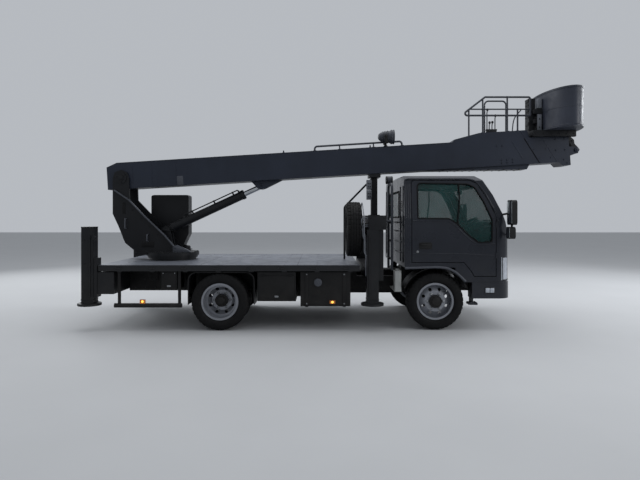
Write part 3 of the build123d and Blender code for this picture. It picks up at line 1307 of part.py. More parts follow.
def main():
    os.makedirs("parts", exist_ok=True)
    save("chassis_frame", chassis_frame())
    save("engine_block", engine_block())
    save("drive_line", drive_line())
    save("rear_axle", rear_axle())
    save("front_axle", front_axle())
    save("leaf_springs", leaf_springs())
    save("exhaust_pipe", exhaust_pipe())
    save("coolant_tank", coolant_tank())

    shell, glass, doors, lamps = cab_parts()
    save("cab_shell", shell)
    save("cab_glass", glass)
    save("headlamps", lamps)
    save("front_bumper", front_bumper())
    save("wheel_housings", wheel_housings())
    save("dashboard", dashboard())
    save("seats", seats())
    save("mirrors", mirrors())

    save("deck", deck())
    save("rear_fenders", rear_fenders())
    save("side_guards", side_guards())
    save("side_boxes", side_boxes())
    save("marker_lamps", marker_lamps())
    save("front_portal", front_portal())
    save("rear_columns", rear_columns())
    save("boom_rest", boom_rest())
    save("control_boxes", control_boxes())
    save("boarding_ladder", boarding_ladder())
    rubber, disc, carrier = spare_wheel()
    save("spare_tyre", rubber)
    save("spare_rim", disc)
    save("spare_carrier", carrier)
    save("slew_base", slew_base())

    for name, side in SIDES.items():
        save(f"knuckle_{name}", knuckle(side))
        rubber, disc = front_wheel(side)
        save(f"front_tyre_{name}", rubber)
        save(f"front_rim_{name}", disc)
        rubber, disc = rear_wheels(side)
        save(f"rear_tyres_{name}", rubber)
        save(f"rear_rims_{name}", disc)
        panel, pane = doors[side]
        save(f"door_{name}", panel)
        save(f"door_glass_{name}", pane)
        save(f"jack_front_{name}", jack_leg(FRONT_COLUMN_X + COLUMN_W / 2, side))
        save(f"jack_rear_{name}", jack_leg(REAR_COLUMN_X + COLUMN_W / 2, side))

    save("turret", turret())
    save("turret_case", turret_case())
    save("boom_base", boom_base())
    save("boom_lugs", boom_lugs())
    save("boom_second", boom_second())
    save("boom_third", boom_third())
    save("boom_rails", boom_rails())
    save("lift_barrel", lift_barrel())
    save("lift_rod", lift_rod())
    save("platform_bracket", platform_bracket())
    save("bucket", bucket())


main()
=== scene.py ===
"""Looks of the truck with its slewing telescopic boom: materials, small parts, light and camera.

Everything is in metres in the frame of the CAD model: X forward, Y to the truck's left, Z up.
A profile that is turned on an axis holds pairs of a distance along the axis and a radius.
"""
from itertools import product
from math import cos, hypot, pi, radians, sin

import bmesh
import bpy
from mathutils import Matrix, Vector


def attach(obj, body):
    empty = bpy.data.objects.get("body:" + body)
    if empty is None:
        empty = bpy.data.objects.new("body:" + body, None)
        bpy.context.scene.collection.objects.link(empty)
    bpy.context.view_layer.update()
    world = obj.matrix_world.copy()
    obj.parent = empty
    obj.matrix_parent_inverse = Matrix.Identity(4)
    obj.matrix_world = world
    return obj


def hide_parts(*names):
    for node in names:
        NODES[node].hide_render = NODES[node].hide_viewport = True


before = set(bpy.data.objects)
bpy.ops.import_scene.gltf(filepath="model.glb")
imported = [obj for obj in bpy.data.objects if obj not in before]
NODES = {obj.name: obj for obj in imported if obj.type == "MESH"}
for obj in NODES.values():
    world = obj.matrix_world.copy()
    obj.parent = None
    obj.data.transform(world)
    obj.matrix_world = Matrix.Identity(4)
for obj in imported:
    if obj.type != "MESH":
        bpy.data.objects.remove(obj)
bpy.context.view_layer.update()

SIDES = {"right": -1, "left": 1}
BOTH = tuple(SIDES.values())
FORWARD, UP, DOWN = (1, 0, 0), (0, 0, 1), (0, 0, -1)

# Sizes that the CAD model sets, repeated here in metres
AXLE_Z = 0.366
FRONT_AXLE_X = 1.156
REAR_AXLE_X = -1.614
FRONT_WHEEL_Y = 0.83
REAR_TWIN_Y = 0.755
TWIN_PITCH = 0.236
STUD_RADIUS = 0.104
SPARE = Vector((0.118, -0.612, 1.29))
CAB_HALF_W = 0.965
CAB_TOP_HALF_W = 0.903
CAB_BELT_Z = 1.437
CAB_EAVE_Z = 1.924
SEAT_FLOOR = 0.86
DECK_TOP = 0.838
DECK_X = (-3.158, 0.177)
DECK_HALF_W = 0.98
BOX_FACE = 0.955            # outer face of the boxes under the deck
COLUMN_FACE = 1.0           # outer face of the jack columns
PIVOT = Vector((-3.176, 0, 2.01))
BOOM_SLOPE = radians(3.5)
BOOM_LOW, BOOM_HIGH, BOOM_HALF_W = -0.155, 0.225, 0.15
BOOM_CAP_TOP = 0.335
SLEW_X = -2.48
BUCKET_X = 3.118


# Materials

class Shader:
    """Adds, sets and links the nodes of one material."""

    def __init__(self, name):
        self.material = bpy.data.materials.new(name)
        self.material.use_nodes = True
        self.tree = self.material.node_tree
        self.tree.nodes.clear()
        self.bsdf = self.add("BsdfPrincipled")
        self.add("OutputMaterial", {"Surface": self.bsdf.outputs["BSDF"]})
        self.coords = self.add("TexCoord").outputs["Object"]

    def put(self, socket, value):
        """Link a socket to another, or set its value."""
        if isinstance(value, bpy.types.NodeSocket):
            self.tree.links.new(value, socket)
        else:
            socket.default_value = (*value, 1) if socket.type == "RGBA" else value

    def add(self, kind, inputs=None, **settings):
        node = self.tree.nodes.new("ShaderNode" + kind)
        for key, value in settings.items():
            setattr(node, key, value)
        for key, value in (inputs or {}).items():
            self.put(node.inputs[key], value)
        return node

    def noise(self, scale, detail, rough=0.55, stretch=(1, 1, 1)):
        place = self.add("Mapping", {"Vector": self.coords, "Scale": stretch})
        return self.add("TexNoise", {"Vector": place.outputs["Vector"], "Scale": scale,
                                     "Detail": detail, "Roughness": rough}).outputs["Fac"]

    def ramp(self, fac, *stops):
        """A colour ramp with two stops, each a place and a grey or a colour."""
        node = self.add("ValToRGB", {"Fac": fac})
        for element, (place, value) in zip(node.color_ramp.elements, stops):
            element.position = place
            element.color = (*(value if isinstance(value, tuple) else (value,) * 3), 1)
        return node.outputs["Color"]

    def clouds(self, scale, detail, first, last, rough=0.55, stretch=(1, 1, 1)):
        return self.ramp(self.noise(scale, detail, rough, stretch), first, last)

    def tone(self, color, scale, detail, dark, pale, start=0.3, end=0.7):
        """The colour in clouds from a darker to a paler shade."""
        return self.clouds(scale, detail, (start, tint(color, dark)), (end, tint(color, pale)))

    def mix(self, fac, first, second):
        return self.add("Mix", {"Factor": fac, "A": first, "B": second},
                        data_type="RGBA").outputs["Result"]

    def height(self, low, high):
        """0 at the low height and 1 at the high one, in the object's own coordinates."""
        split = self.add("SeparateXYZ", {"Vector": self.coords})
        return self.add("MapRange", {"Value": split.outputs["Z"], "From Min": low,
                                     "From Max": high}).outputs["Result"]

    def math(self, operation, first, second):
        return self.add("Math", {0: first, 1: second}, operation=operation).outputs["Value"]

    def wave(self, direction, scale):
        return self.add("TexWave", {"Vector": self.coords, "Scale": scale},
                        bands_direction=direction).outputs["Fac"]

    def done(self, bump=None, **values):
        """Set the surface's inputs and its bump, given as (height, strength, distance)."""
        if bump:
            height, strength, distance = bump
            values["Normal"] = self.add("Bump", {"Height": height, "Strength": strength,
                                                 "Distance": distance}).outputs["Normal"]
        for key, value in values.items():
            self.put(self.bsdf.inputs[key.replace("_", " ")], value)
        return self.material


def tint(color, factor):
    """A paler or darker shade of a colour."""
    return tuple(min(1.0, part * factor) for part in color)


def paint(name, color, rough, metallic=0.0, coat=0.0, dust=0.0, dust_z=(0.15, 1.0), sheen=0.3):
    """Sprayed paint: cloudy tone, streaks, orange peel, and road dust that fades upward."""
    shader = Shader(name)
    streak = shader.clouds(1.0, 6, (0.44, 0.0), (0.78, 1.0), 0.6, (5.0, 5.0, 0.9))
    worn = shader.mix(shader.math("MULTIPLY", streak, 0.35), shader.tone(color, 2.3, 5, 0.86, 1.12),
                      tint(color, 1.45))
    low = shader.math("SUBTRACT", 1.0, shader.height(*dust_z))
    cloud = shader.clouds(7.0, 6, (0.35, 0.15), (0.75, 1.0), 0.65)
    dirt = shader.math("MULTIPLY", shader.math("MULTIPLY", low, cloud), dust)
    gloss = shader.clouds(5.0, 5, (0.3, rough[0]), (0.7, rough[1]))
    return shader.done(
        (shader.noise(260.0, 2), 0.12, 0.0006),
        Base_Color=shader.mix(dirt, worn, (0.07, 0.066, 0.06)),
        Roughness=shader.math("ADD", gloss, shader.math("MULTIPLY", dirt, 0.3)),
        Metallic=metallic, Coat_Weight=coat, Coat_Roughness=0.12, Specular_IOR_Level=sheen)


def rubber(name, color, dust=0.5):
    """Tyre and seal rubber: dark, grainy, greyed by dust in patches."""
    shader = Shader(name)
    dirt = shader.math("MULTIPLY", shader.clouds(4.0, 6, (0.38, 0.0), (0.72, 1.0), 0.65), dust)
    return shader.done((shader.noise(420.0, 3), 0.25, 0.0008),
                       Base_Color=shader.mix(dirt, color, (0.012, 0.0118, 0.011)),
                       Roughness=shader.clouds(30.0, 3, (0.3, 0.55), (0.7, 0.85)),
                       Specular_IOR_Level=0.16)


def plastic(name, color, rough=(0.4, 0.6), grain=340.0, depth=0.0005):
    """Moulded plastic with a fine leather-like grain and a faded bloom."""
    shader = Shader(name)
    return shader.done((shader.noise(grain, 3), 0.3, depth), Specular_IOR_Level=0.3,
                       Base_Color=shader.tone(color, 3.0, 4, 0.85, 1.2),
                       Roughness=shader.clouds(11.0, 4, (0.3, rough[0]), (0.7, rough[1])))


def bare_metal(name, color, rough=(0.18, 0.36), grain=90.0):
    """Plated or bare metal with fine working marks."""
    shader = Shader(name)
    marks = shader.noise(grain, 4, 0.6)
    return shader.done((marks, 0.08, 0.0004), Metallic=1.0,
                       Base_Color=shader.tone(color, 9.0, 5, 0.8, 1.1),
                       Roughness=shader.ramp(marks, (0.3, rough[0]), (0.7, rough[1])))


def tinted_glass(name, color, rough, alpha):
    """Window glass with a faint dust film."""
    shader = Shader(name)
    shader.material.surface_render_method = "BLENDED"
    return shader.done(Base_Color=shader.tone(color, 3.0, 6, 0.9, 1.6, 0.42, 0.8),
                       Roughness=shader.clouds(14.0, 5, (0.3, rough), (0.8, rough + 0.06)),
                       Alpha=alpha, Specular_IOR_Level=0.4, IOR=1.5)


def lens(name, color, glow=0.0):
    """Moulded lamp lens with fine vertical ribs."""
    shader = Shader(name)
    tone = shader.tone(color, 18.0, 3, 0.8, 1.15)
    ribs = shader.wave("Y", 120.0)
    lit = {"Emission_Color": tone, "Emission_Strength": glow} if glow else {}
    return shader.done((ribs, 0.3, 0.001), Base_Color=tone, Coat_Weight=0.6, Coat_Roughness=0.05,
                       Roughness=shader.ramp(ribs, (0.0, 0.08), (1.0, 0.2)), **lit)


def tread_plate(name, color):
    """Deck plate: raised lozenges worn bright on the top face, and dark paint on its sides."""
    shader = Shader(name)
    lozenges = []
    for turn in (45, -45):
        place = shader.add("Mapping", {"Vector": shader.coords, "Rotation": (0, 0, radians(turn)),
                                       "Scale": (14.0, 42.0, 14.0)})
        cells = shader.add("TexVoronoi", {"Vector": place.outputs["Vector"], "Scale": 1.0,
                                          "Randomness": 0.0}, feature="F1")
        lozenges.append(shader.ramp(cells.outputs["Distance"], (0.22, 1.0), (0.34, 0.0)))
    raised = shader.math("MAXIMUM", *lozenges)
    dirt = shader.clouds(3.5, 6, (0.35, tint(color, 0.62)), (0.7, tint(color, 1.1)), 0.65)
    face = shader.height(DECK_TOP - 0.0012, DECK_TOP - 0.0004)
    plate = shader.mix(shader.math("MULTIPLY", raised, 0.5), dirt, tint(color, 1.45))
    return shader.done((shader.math("MULTIPLY", raised, face), 0.5, 0.002),
                       Base_Color=shader.mix(face, (0.012, 0.0125, 0.014), plate),
                       Roughness=shader.clouds(9.0, 5, (0.3, 0.32), (0.7, 0.55)),
                       Metallic=shader.math("MULTIPLY", face, 0.4), Specular_IOR_Level=0.3)


def cloth(name, color):
    """Woven seat cloth."""
    shader = Shader(name)
    weave = shader.math("MULTIPLY", shader.wave("X", 190.0), shader.wave("Z", 190.0))
    return shader.done((weave, 0.35, 0.001), Base_Color=shader.tone(color, 5.0, 5, 0.8, 1.25),
                       Roughness=0.9, Sheen_Weight=0.4)


MAT = {
    "cab": paint("cab_metallic", (0.014, 0.0165, 0.0235), (0.24, 0.34), 0.35, 0.25, 0.25,
                 (0.4, 1.1)),
    "machine": paint("machine_grey", (0.0085, 0.0092, 0.011), (0.36, 0.5), dust=0.2,
                     dust_z=(0.3, 1.2), sheen=0.24),
    # Paler grey paint. On the wheel arch lips it also stands in for light: a painted highlight.
    "flange": paint("pale_grey_and_painted_highlight", (0.06, 0.065, 0.078), (0.32, 0.45)),
    "boom": paint("boom_grey", (0.015, 0.02, 0.033), (0.36, 0.48)),
    "guard": paint("guard_tube_grey", (0.04, 0.044, 0.054), (0.35, 0.5)),
    "light": paint("light_grey", (0.15, 0.16, 0.18), (0.35, 0.5)),
    "chassis": paint("chassis_black", (0.006, 0.006, 0.0065), (0.42, 0.6), dust=0.35,
                     dust_z=(0.2, 0.8), sheen=0.2),
    "axle": paint("axle_black", (0.008, 0.008, 0.0085), (0.5, 0.7), dust=0.45, dust_z=(0.2, 0.7),
                  sheen=0.2),
    "edge": paint("deck_edge_paint", (0.016, 0.017, 0.02), (0.4, 0.55)),
    "rim": paint("rim_silver", (0.24, 0.25, 0.275), (0.24, 0.36), 0.55, 0.1, 0.25,
                 (-0.35, 0.75)),
    "plate": paint("blank_plate", (0.3, 0.31, 0.32), (0.35, 0.45), 0.0, 0.1, 0.2, (0.2, 0.9)),
    "tyre": rubber("tyre_rubber", (0.006, 0.006, 0.0065)),
    "seal": rubber("seal_rubber", (0.005, 0.005, 0.0055), 0.15),
    "grip": rubber("grip_rubber", (0.01, 0.01, 0.011), 0.4),
    "glass": tinted_glass("window_glass", (0.01, 0.048, 0.045), 0.05, 0.46),
    "lens_clear": lens("lens_clear", (0.42, 0.45, 0.5)),
    "lens_amber": lens("lens_amber", (0.95, 0.42, 0.06), 2.2),
    "lens_orange": lens("lens_orange", (0.62, 0.19, 0.02)),
    "lens_red": lens("lens_red", (0.36, 0.012, 0.01)),
    "black": plastic("black_plastic", (0.008, 0.008, 0.0085)),
    "trim": plastic("interior_trim", (0.04, 0.041, 0.044), (0.5, 0.7)),
    "tank": plastic("tank_polythene", (0.32, 0.33, 0.32), (0.35, 0.5), 60.0),
    "bucket": plastic("bucket_resin", (0.032, 0.037, 0.052), (0.34, 0.5), 120.0, 0.0008),
    "deck": tread_plate("deck_plate", (0.19, 0.205, 0.24)),
    "cloth": cloth("seat_cloth", (0.026, 0.029, 0.034)),
    "steel": bare_metal("zinc_steel", (0.26, 0.27, 0.28)),
    "rod": bare_metal("plated_rod", (0.52, 0.54, 0.56), (0.08, 0.2), 60.0),
    "mirror": bare_metal("mirror_glass", (0.7, 0.73, 0.75), (0.02, 0.05)),
}

# CAD nodes by material, without right and left. The others are painted as the machine.
MATERIAL_NODES = {
    "axle": "engine_block drive_line rear_axle front_axle leaf_springs knuckle exhaust_pipe",
    "black": "mirrors rear_fenders wheel_housings",
    "boom": "boom_base boom_second boom_third boom_lugs",
    "bucket": "bucket", "cab": "cab_shell door front_bumper",
    "chassis": "chassis_frame side_guards side_boxes spare_carrier", "cloth": "seats",
    "deck": "deck", "glass": "cab_glass door_glass", "guard": "boarding_ladder boom_rails",
    "lens_clear": "headlamps", "lens_orange": "marker_lamps", "light": "control_boxes",
    "rim": "spare_rim front_rim rear_rims", "rod": "lift_rod", "tank": "coolant_tank",
    "trim": "dashboard", "tyre": "front_tyre rear_tyres spare_tyre",
}
NODE_MATERIAL = {node: key for key, nodes in MATERIAL_NODES.items() for node in nodes.split()}
for name, node in NODES.items():
    plain_name = name.removesuffix("_right").removesuffix("_left")
    node.data.materials.clear()
    node.data.materials.append(MAT[NODE_MATERIAL.get(plain_name, "machine")])


# Mesh helpers

def across(side, near, far):
    """Two distances from the middle as an ordered pair of Y places on one side."""
    return sorted((side * near, side * far))


def around(count, radius, start=0.0):
    """Places on a circle, the first at the start angle in degrees."""
    for turn in range(count):
        angle = radians(start) + 2 * pi * turn / count
        yield radius * cos(angle), radius * sin(angle)


def turned(place, axis):
    """A matrix that sets a shape's Z axis along the axis, at the place."""
    turn = Vector(UP).rotation_difference(Vector(axis)).to_matrix().to_4x4()
    return Matrix.Translation(place) @ turn


def stitch(part, rings, closed=False):
    """Join rings of vertices, and cap both ends unless the last ring meets the first."""
    for ring, following in zip(rings, rings[1:] + (rings[:1] if closed else [])):
        for place in range(len(ring)):
            ahead = (place + 1) % len(ring)
            part.faces.new((ring[place], ring[ahead], following[ahead], following[place]))
    if not closed:
        part.faces.new(rings[0][::-1])
        part.faces.new(rings[-1])


def loop(points):
    """A closed line: the points with the first one again at the end."""
    return [*points, points[0]]


def bend(points, radius, steps=6):
    """Round the corners of a line of points, for tubes."""
    points = [Vector(p) for p in points]
    path = [points[0]]
    for before, corner, after in zip(points, points[1:], points[2:]):
        back, ahead = before - corner, after - corner
        reach = min(radius, back.length * 0.49, ahead.length * 0.49)
        start, end = corner + back.normalized() * reach, corner + ahead.normalized() * reach
        for step in range(steps + 1):
            t = step / steps
            path.append(start * (1 - t) ** 2 + corner * 2 * t * (1 - t) + end * t * t)
    return [*path, points[-1]]


def add_object(name, data):
    thing = bpy.data.objects.new(name, data)
    bpy.context.scene.collection.objects.link(thing)
    return thing


class Piece:
    """One visible object, built up from several shapes that share a material and a body."""

    made = []

    def __init__(self, name, material, body="truck", replaces=None, angle=35):
        self.name, self.material, self.body = name, material, body
        self.replaces, self.angle = replaces, angle
        self.mesh = bmesh.new()
        Piece.made.append(self)

    def take(self, part, matrix=None):
        """Add a small bmesh, placed by the matrix."""
        if matrix is not None:
            part.transform(matrix)
        data = bpy.data.meshes.new("part")
        part.to_mesh(data)
        part.free()
        self.mesh.from_mesh(data)
        bpy.data.meshes.remove(data)

    def block(self, low, high, bevel=0.004, matrix=None):
        """A box with rounded edges."""
        part = bmesh.new()
        low, high = Vector(low), Vector(high)
        size = high - low
        place = Matrix.Translation((low + high) / 2) @ Matrix.Diagonal((*size, 1))
        bmesh.ops.create_cube(part, size=1.0, matrix=place)
        bmesh.ops.bevel(part, geom=part.edges[:], offset=min(bevel, min(size) * 0.45), segments=2,
                        profile=0.5, affect="EDGES")
        self.take(part, matrix)

    def slab(self, side, low, high, bevel=0.004):
        """A block on one side, with its Y places given as distances from the middle."""
        y_low, y_high = across(side, low[1], high[1])
        self.block((low[0], y_low, low[2]), (high[0], y_high, high[2]), bevel)

    def lathe(self, profile, start, axis, steps=32):
        """Turn a profile of (distance along the axis, radius) points."""
        part = bmesh.new()
        stitch(part, [[part.verts.new((x, y, along)) for x, y in around(steps, radius)]
                      for along, radius in profile])
        self.take(part, turned(start, axis))

    def rod(self, start, end, radius, steps=16):
        """A round bar with softened ends."""
        start, end = Vector(start), Vector(end)
        length = (end - start).length
        soft = min(radius * 0.25, length * 0.2)
        self.lathe([(0, radius - soft), (soft, radius), (length - soft, radius),
                    (length, radius - soft)], start, end - start, steps)

    def bolt(self, place, axis, size=0.012):
        """A hexagon head on a washer."""
        self.lathe([(0, size * 1.5), (size * 0.2, size * 1.5)], place, axis, 16)
        self.lathe([(0, size), (size * 0.9, size), (size * 1.1, size * 0.8)], place, axis, 6)

    def bolts(self, places, axis, size):
        """Bolts of one size that face the same way."""
        for place in places:
            self.bolt(place, axis, size)

    def tube(self, points, radius, steps=12, closed=False):
        """A tube along a list of points, mitred at each one."""
        part = bmesh.new()
        points = [Vector(p) for p in points]
        rings, normal = [], None
        for place, point in enumerate(points):
            at_end = place == len(points) - 1 and not closed
            before = points[place - 1] if closed or place else point
            after = point if at_end else points[(place + 1) % len(points)]
            ahead = ((after - point).normalized() + (point - before).normalized()).normalized()
            if normal is None:
                normal = ahead.orthogonal().normalized()
            normal = (normal - ahead * normal.dot(ahead)).normalized()
            other = ahead.cross(normal)
            rings.append([part.verts.new(point + c * normal + s * other)
                          for c, s in around(steps, radius)])
        stitch(part, rings, closed)
        self.take(part)

    def pipe(self, points, corner, radius):
        """A tube with rounded corners."""
        self.tube(bend(points, corner), radius)

    def plate(self, outline, low, high, bevel):
        """A flat plate cut to an outline of (x, z) points, from one Y place to another."""
        part = bmesh.new()
        stitch(part, [[part.verts.new((x, y, z)) for x, z in outline] for y in (low, high)])
        bmesh.ops.recalc_face_normals(part, faces=part.faces[:])
        bmesh.ops.bevel(part, geom=part.edges[:], offset=bevel, segments=2, profile=0.5,
                        affect="EDGES", clamp_overlap=True)
        self.take(part)

    def done(self):
        """Make the object, on its body and in place of the CAD node that it replaces."""
        data = bpy.data.meshes.new(self.name)
        bmesh.ops.recalc_face_normals(self.mesh, faces=self.mesh.faces[:])
        self.mesh.to_mesh(data)
        self.mesh.free()
        data.materials.append(MAT[self.material])
        data.shade_smooth()
        data.set_sharp_from_angle(angle=radians(self.angle))
        thing = add_object(self.name, data)
        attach(thing, self.body)
        if self.replaces:
            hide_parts(self.replaces)


BOOM = Matrix.Translation(PIVOT) @ Matrix.Rotation(-BOOM_SLOPE, 4, "Y")


def on_boom(u, y, w):
    """A place given along the boom, across it and above its pivot line."""
    return BOOM @ Vector((u, y, w))


def cab_y(z):
    """Half width of the cab's skin at height z, which leans in above the belt."""
    share = max(0.0, z - CAB_BELT_Z) / (CAB_EAVE_Z - CAB_BELT_Z)
    return CAB_HALF_W - share * (CAB_HALF_W - CAB_TOP_HALF_W)


def on_skin(points, side, out=0.0):
    """Points (x, z) of a side outline set on the cab's skin."""
    return [(x, side * (cab_y(z) + out), z) for x, z in points]


# Camera and light

PHOTO_WIDTH, PHOTO_HEIGHT = 640, 480
FOCAL_PX = 517               # focal length in pixels of the photo
HORIZON_PX = 216.5           # the horizon's row in the photo

scene = bpy.context.scene
camera_data = bpy.data.cameras.new("camera")
camera_data.lens = FOCAL_PX / PHOTO_WIDTH * camera_data.sensor_width
camera_data.shift_y = (HORIZON_PX - PHOTO_HEIGHT / 2) / PHOTO_WIDTH
camera = add_object("camera", camera_data)
camera.location = (-0.33, -7.57, 1.46)
camera.rotation_euler = (radians(90), 0, 0)
scene.camera = camera

for name, place, target, size, power, color in (
        ("overhead", (0.0, 1.0, 9.0), (0, 0, 0), (12, 8), 560, (0.97, 0.98, 1.0)),
        ("near_front", (10.0, -5.0, 4.4), (2.0, 0, 1.8), (5, 4), 260, (1, 1, 1)),
        ("front_rim", (8.5, 3.0, 5.0), (1.5, 0, 1.5), (4, 4), 260, (0.93, 0.96, 1.0)),
        ("rear_rim", (-8.0, 5.0, 4.5), (-2, 0, 1.5), (4, 4), 200, (0.96, 0.98, 1.0))):
    data = bpy.data.lights.new(name, "AREA")
    data.shape, data.size, data.size_y = "RECTANGLE", *size
    data.energy, data.color = power, color
    lamp = add_object(name, data)
    lamp.location = place
    lamp.rotation_euler = (Vector(target) - Vector(place)).to_track_quat("-Z", "Y").to_euler()

world = bpy.data.worlds.new("studio")
world.use_nodes = True
background = world.node_tree.nodes["Background"].inputs
background["Color"].default_value = (0.84, 0.88, 0.94, 1)
background["Strength"].default_value = 0.56
scene.world = world
scene.view_settings.view_transform = "Standard"

FLOOR_REACH = 40.0
ground = Shader("floor")
ground.done((ground.noise(60.0, 4), 0.1, 0.002), Roughness=0.85,
            Base_Color=ground.clouds(0.8, 6, (0.3, (0.44, 0.448, 0.456)),
                                     (0.7, (0.46, 0.468, 0.476))))
data = bpy.data.meshes.new("floor")
data.from_pydata([(x * FLOOR_REACH, y * FLOOR_REACH, 0) for x, y in
                  ((-1, -1), (1, -1), (1, 1), (-1, 1))], [], [(0, 1, 2, 3)])
data.materials.append(ground.material)
add_object("floor", data)


# Wheels

# Half of a tyre's section: distance across, radius, and how deep a cross cut goes there
TYRE_HALF = [
    (0.0667, 0.2225, 0), (0.068, 0.2405, 0), (0.076, 0.244, 0), (0.085, 0.2475, 0),
    (0.093, 0.256, 0), (0.0975, 0.264, 0), (0.099, 0.266, 0), (0.099, 0.27, 0),
    (0.0998, 0.272, 0), (0.1012, 0.283, 0), (0.1022, 0.296, 0), (0.1016, 0.31, 0),
    (0.1, 0.32, 0), (0.1002, 0.3225, 0), (0.0975, 0.33, 0.3), (0.0952, 0.337, 1),
    (0.09, 0.348, 1), (0.0815, 0.3605, 1), (0.064, 0.3632, 1), (0.056, 0.3634, 1),
    (0.0545, 0.3545, 0), (0.0485, 0.3545, 0), (0.047, 0.3642, 0.5), (0.02, 0.3655, 0.5),
    (0.0185, 0.356, 0), (0.0125, 0.356, 0), (0.011, 0.3658, 0.35)]
TYRE_SECTION = [(-y, r, cut) for y, r, cut in TYRE_HALF] + TYRE_HALF[::-1]
TYRE_STEPS = 216
CUT_EVERY = 6                # steps from one cross cut to the next
CUT_DEPTH = 0.0075
NUT = [(0, 0.019), (0.004, 0.019), (0.005, 0.0165), (0.021, 0.0165), (0.025, 0.012), (0.027, 0.005)]
HUB_CAP = [(-0.02, 0.0832), (0.001, 0.0832), (0.006, 0.078), (0.007, 0.06), (0.012, 0.0535),
           (0.027, 0.0525), (0.031, 0.046), (0.031, 0.02), (0.034, 0.016)]


def tyre(piece, centre, axis):
    """A tyre with circumferential grooves and cross cuts in its blocks."""
    part = bmesh.new()
    rings = []
    for turn, (c, s) in enumerate(around(TYRE_STEPS, 1)):
        depth = 0.0 if turn % CUT_EVERY else CUT_DEPTH
        rings.append([part.verts.new(((r - depth * cut) * c, (r - depth * cut) * s, y))
                      for y, r, cut in TYRE_SECTION])
    stitch(part, rings, closed=True)
    piece.take(part, turned(centre, axis))


for name, side in SIDES.items():
    outward = (0, side, 0)
    for end, tread, tyre_node, body, x, y, offsets, nut_face, hub_face in (
            ("front", "front_tread", "front_tyre", "front_wheel", FRONT_AXLE_X, FRONT_WHEEL_Y,
             (0,), 0.058, 0.092),
            ("rear", "rear_treads", "rear_tyres", "rear_wheels", REAR_AXLE_X, REAR_TWIN_Y,
             (-TWIN_PITCH / 2, TWIN_PITCH / 2), TWIN_PITCH / 2 - 0.1, TWIN_PITCH / 2 - 0.04)):
        body = f"{body}_{name}"
        rubber_tread = Piece(f"{tread}_{name}", "tyre", body, f"{tyre_node}_{name}", 28)
        for offset in offsets:
            tyre(rubber_tread, (x, side * y + offset, AXLE_Z), outward)
        nuts = Piece(f"{end}_nuts_{name}", "steel", body)
        for dx, dz in around(6, STUD_RADIUS):
            nuts.lathe(NUT, (x + dx, side * (y + nut_face), AXLE_Z - dz), outward, 6)
        if end == "front":
            nuts.pipe([(x + dx, side * (y + out), AXLE_Z + dz) for dx, out, dz in (
                (0.12, 0.015, 0.11), (0.14, 0.06, 0.13), (0.145, 0.075, 0.135))], 0.01, 0.004)
        cap = Piece(f"{end}_hub_cap_{name}", "axle", body)
        cap.lathe(HUB_CAP, (x, side * (y + hub_face), AXLE_Z), outward, 40)
        cap.bolts([(x + dx, side * (y + hub_face + 0.006), AXLE_Z + dz)
                   for dx, dz in around(8, 0.067, 22)], outward, 0.005)

tyre(Piece("spare_tread", "tyre", replaces="spare_tyre", angle=28), SPARE, FORWARD)


# Sides of the cab and its doors: outlines as (x, z)

WINDOW = [(0.923, 1.437), (0.923, 1.86), (0.95, 1.89), (1.57, 1.878), (1.66, 1.835),
          (1.77, 1.65), (1.868, 1.42), (1.868, 1.14), (1.7, 1.125), (1.578, 1.215),
          (1.42, 1.37), (1.33, 1.432)]
WINDOW_BAR = [(1.455, 1.874), (1.462, 1.7), (1.43, 1.372)]
BELT_TRIM = [(0.858, 1.402), (1.318, 1.4), (1.4, 1.345), (1.555, 1.19), (1.685, 1.098),
             (1.902, 1.112)]
LOW_CREASE = [(0.858, 0.985), (1.4, 0.985), (1.905, 0.96)]
HANDLE = [(0.942, 1.047), (1.095, 1.047), (1.095, 1.123), (0.942, 1.123)]
DOOR_CARD = [(0.9, 0.93), (1.5, 0.93), (1.62, 0.84), (1.86, 0.84), (1.86, 1.09), (1.69, 1.09),
             (1.52, 1.22), (1.4, 1.34), (1.32, 1.39), (0.9, 1.39)]
DRIP_RAIL = [(0.765, 1.935), (0.8, 1.946), (1.56, 1.946), (1.668, 1.925), (1.78, 1.78),
             (1.905, 1.54), (1.945, 1.4)]
ARCH_LIP = [(0.757, 0.8), (1.18, 0.814), (1.3, 0.802), (1.4, 0.752), (1.47, 0.69),
            (1.53, 0.628)]
MARKER_FRAME = [(1.776, 0.483), (1.898, 0.483), (1.898, 0.553), (1.776, 0.553)]
MIRROR_Y = 1.1
LOW_MIRROR_Y = 1.09

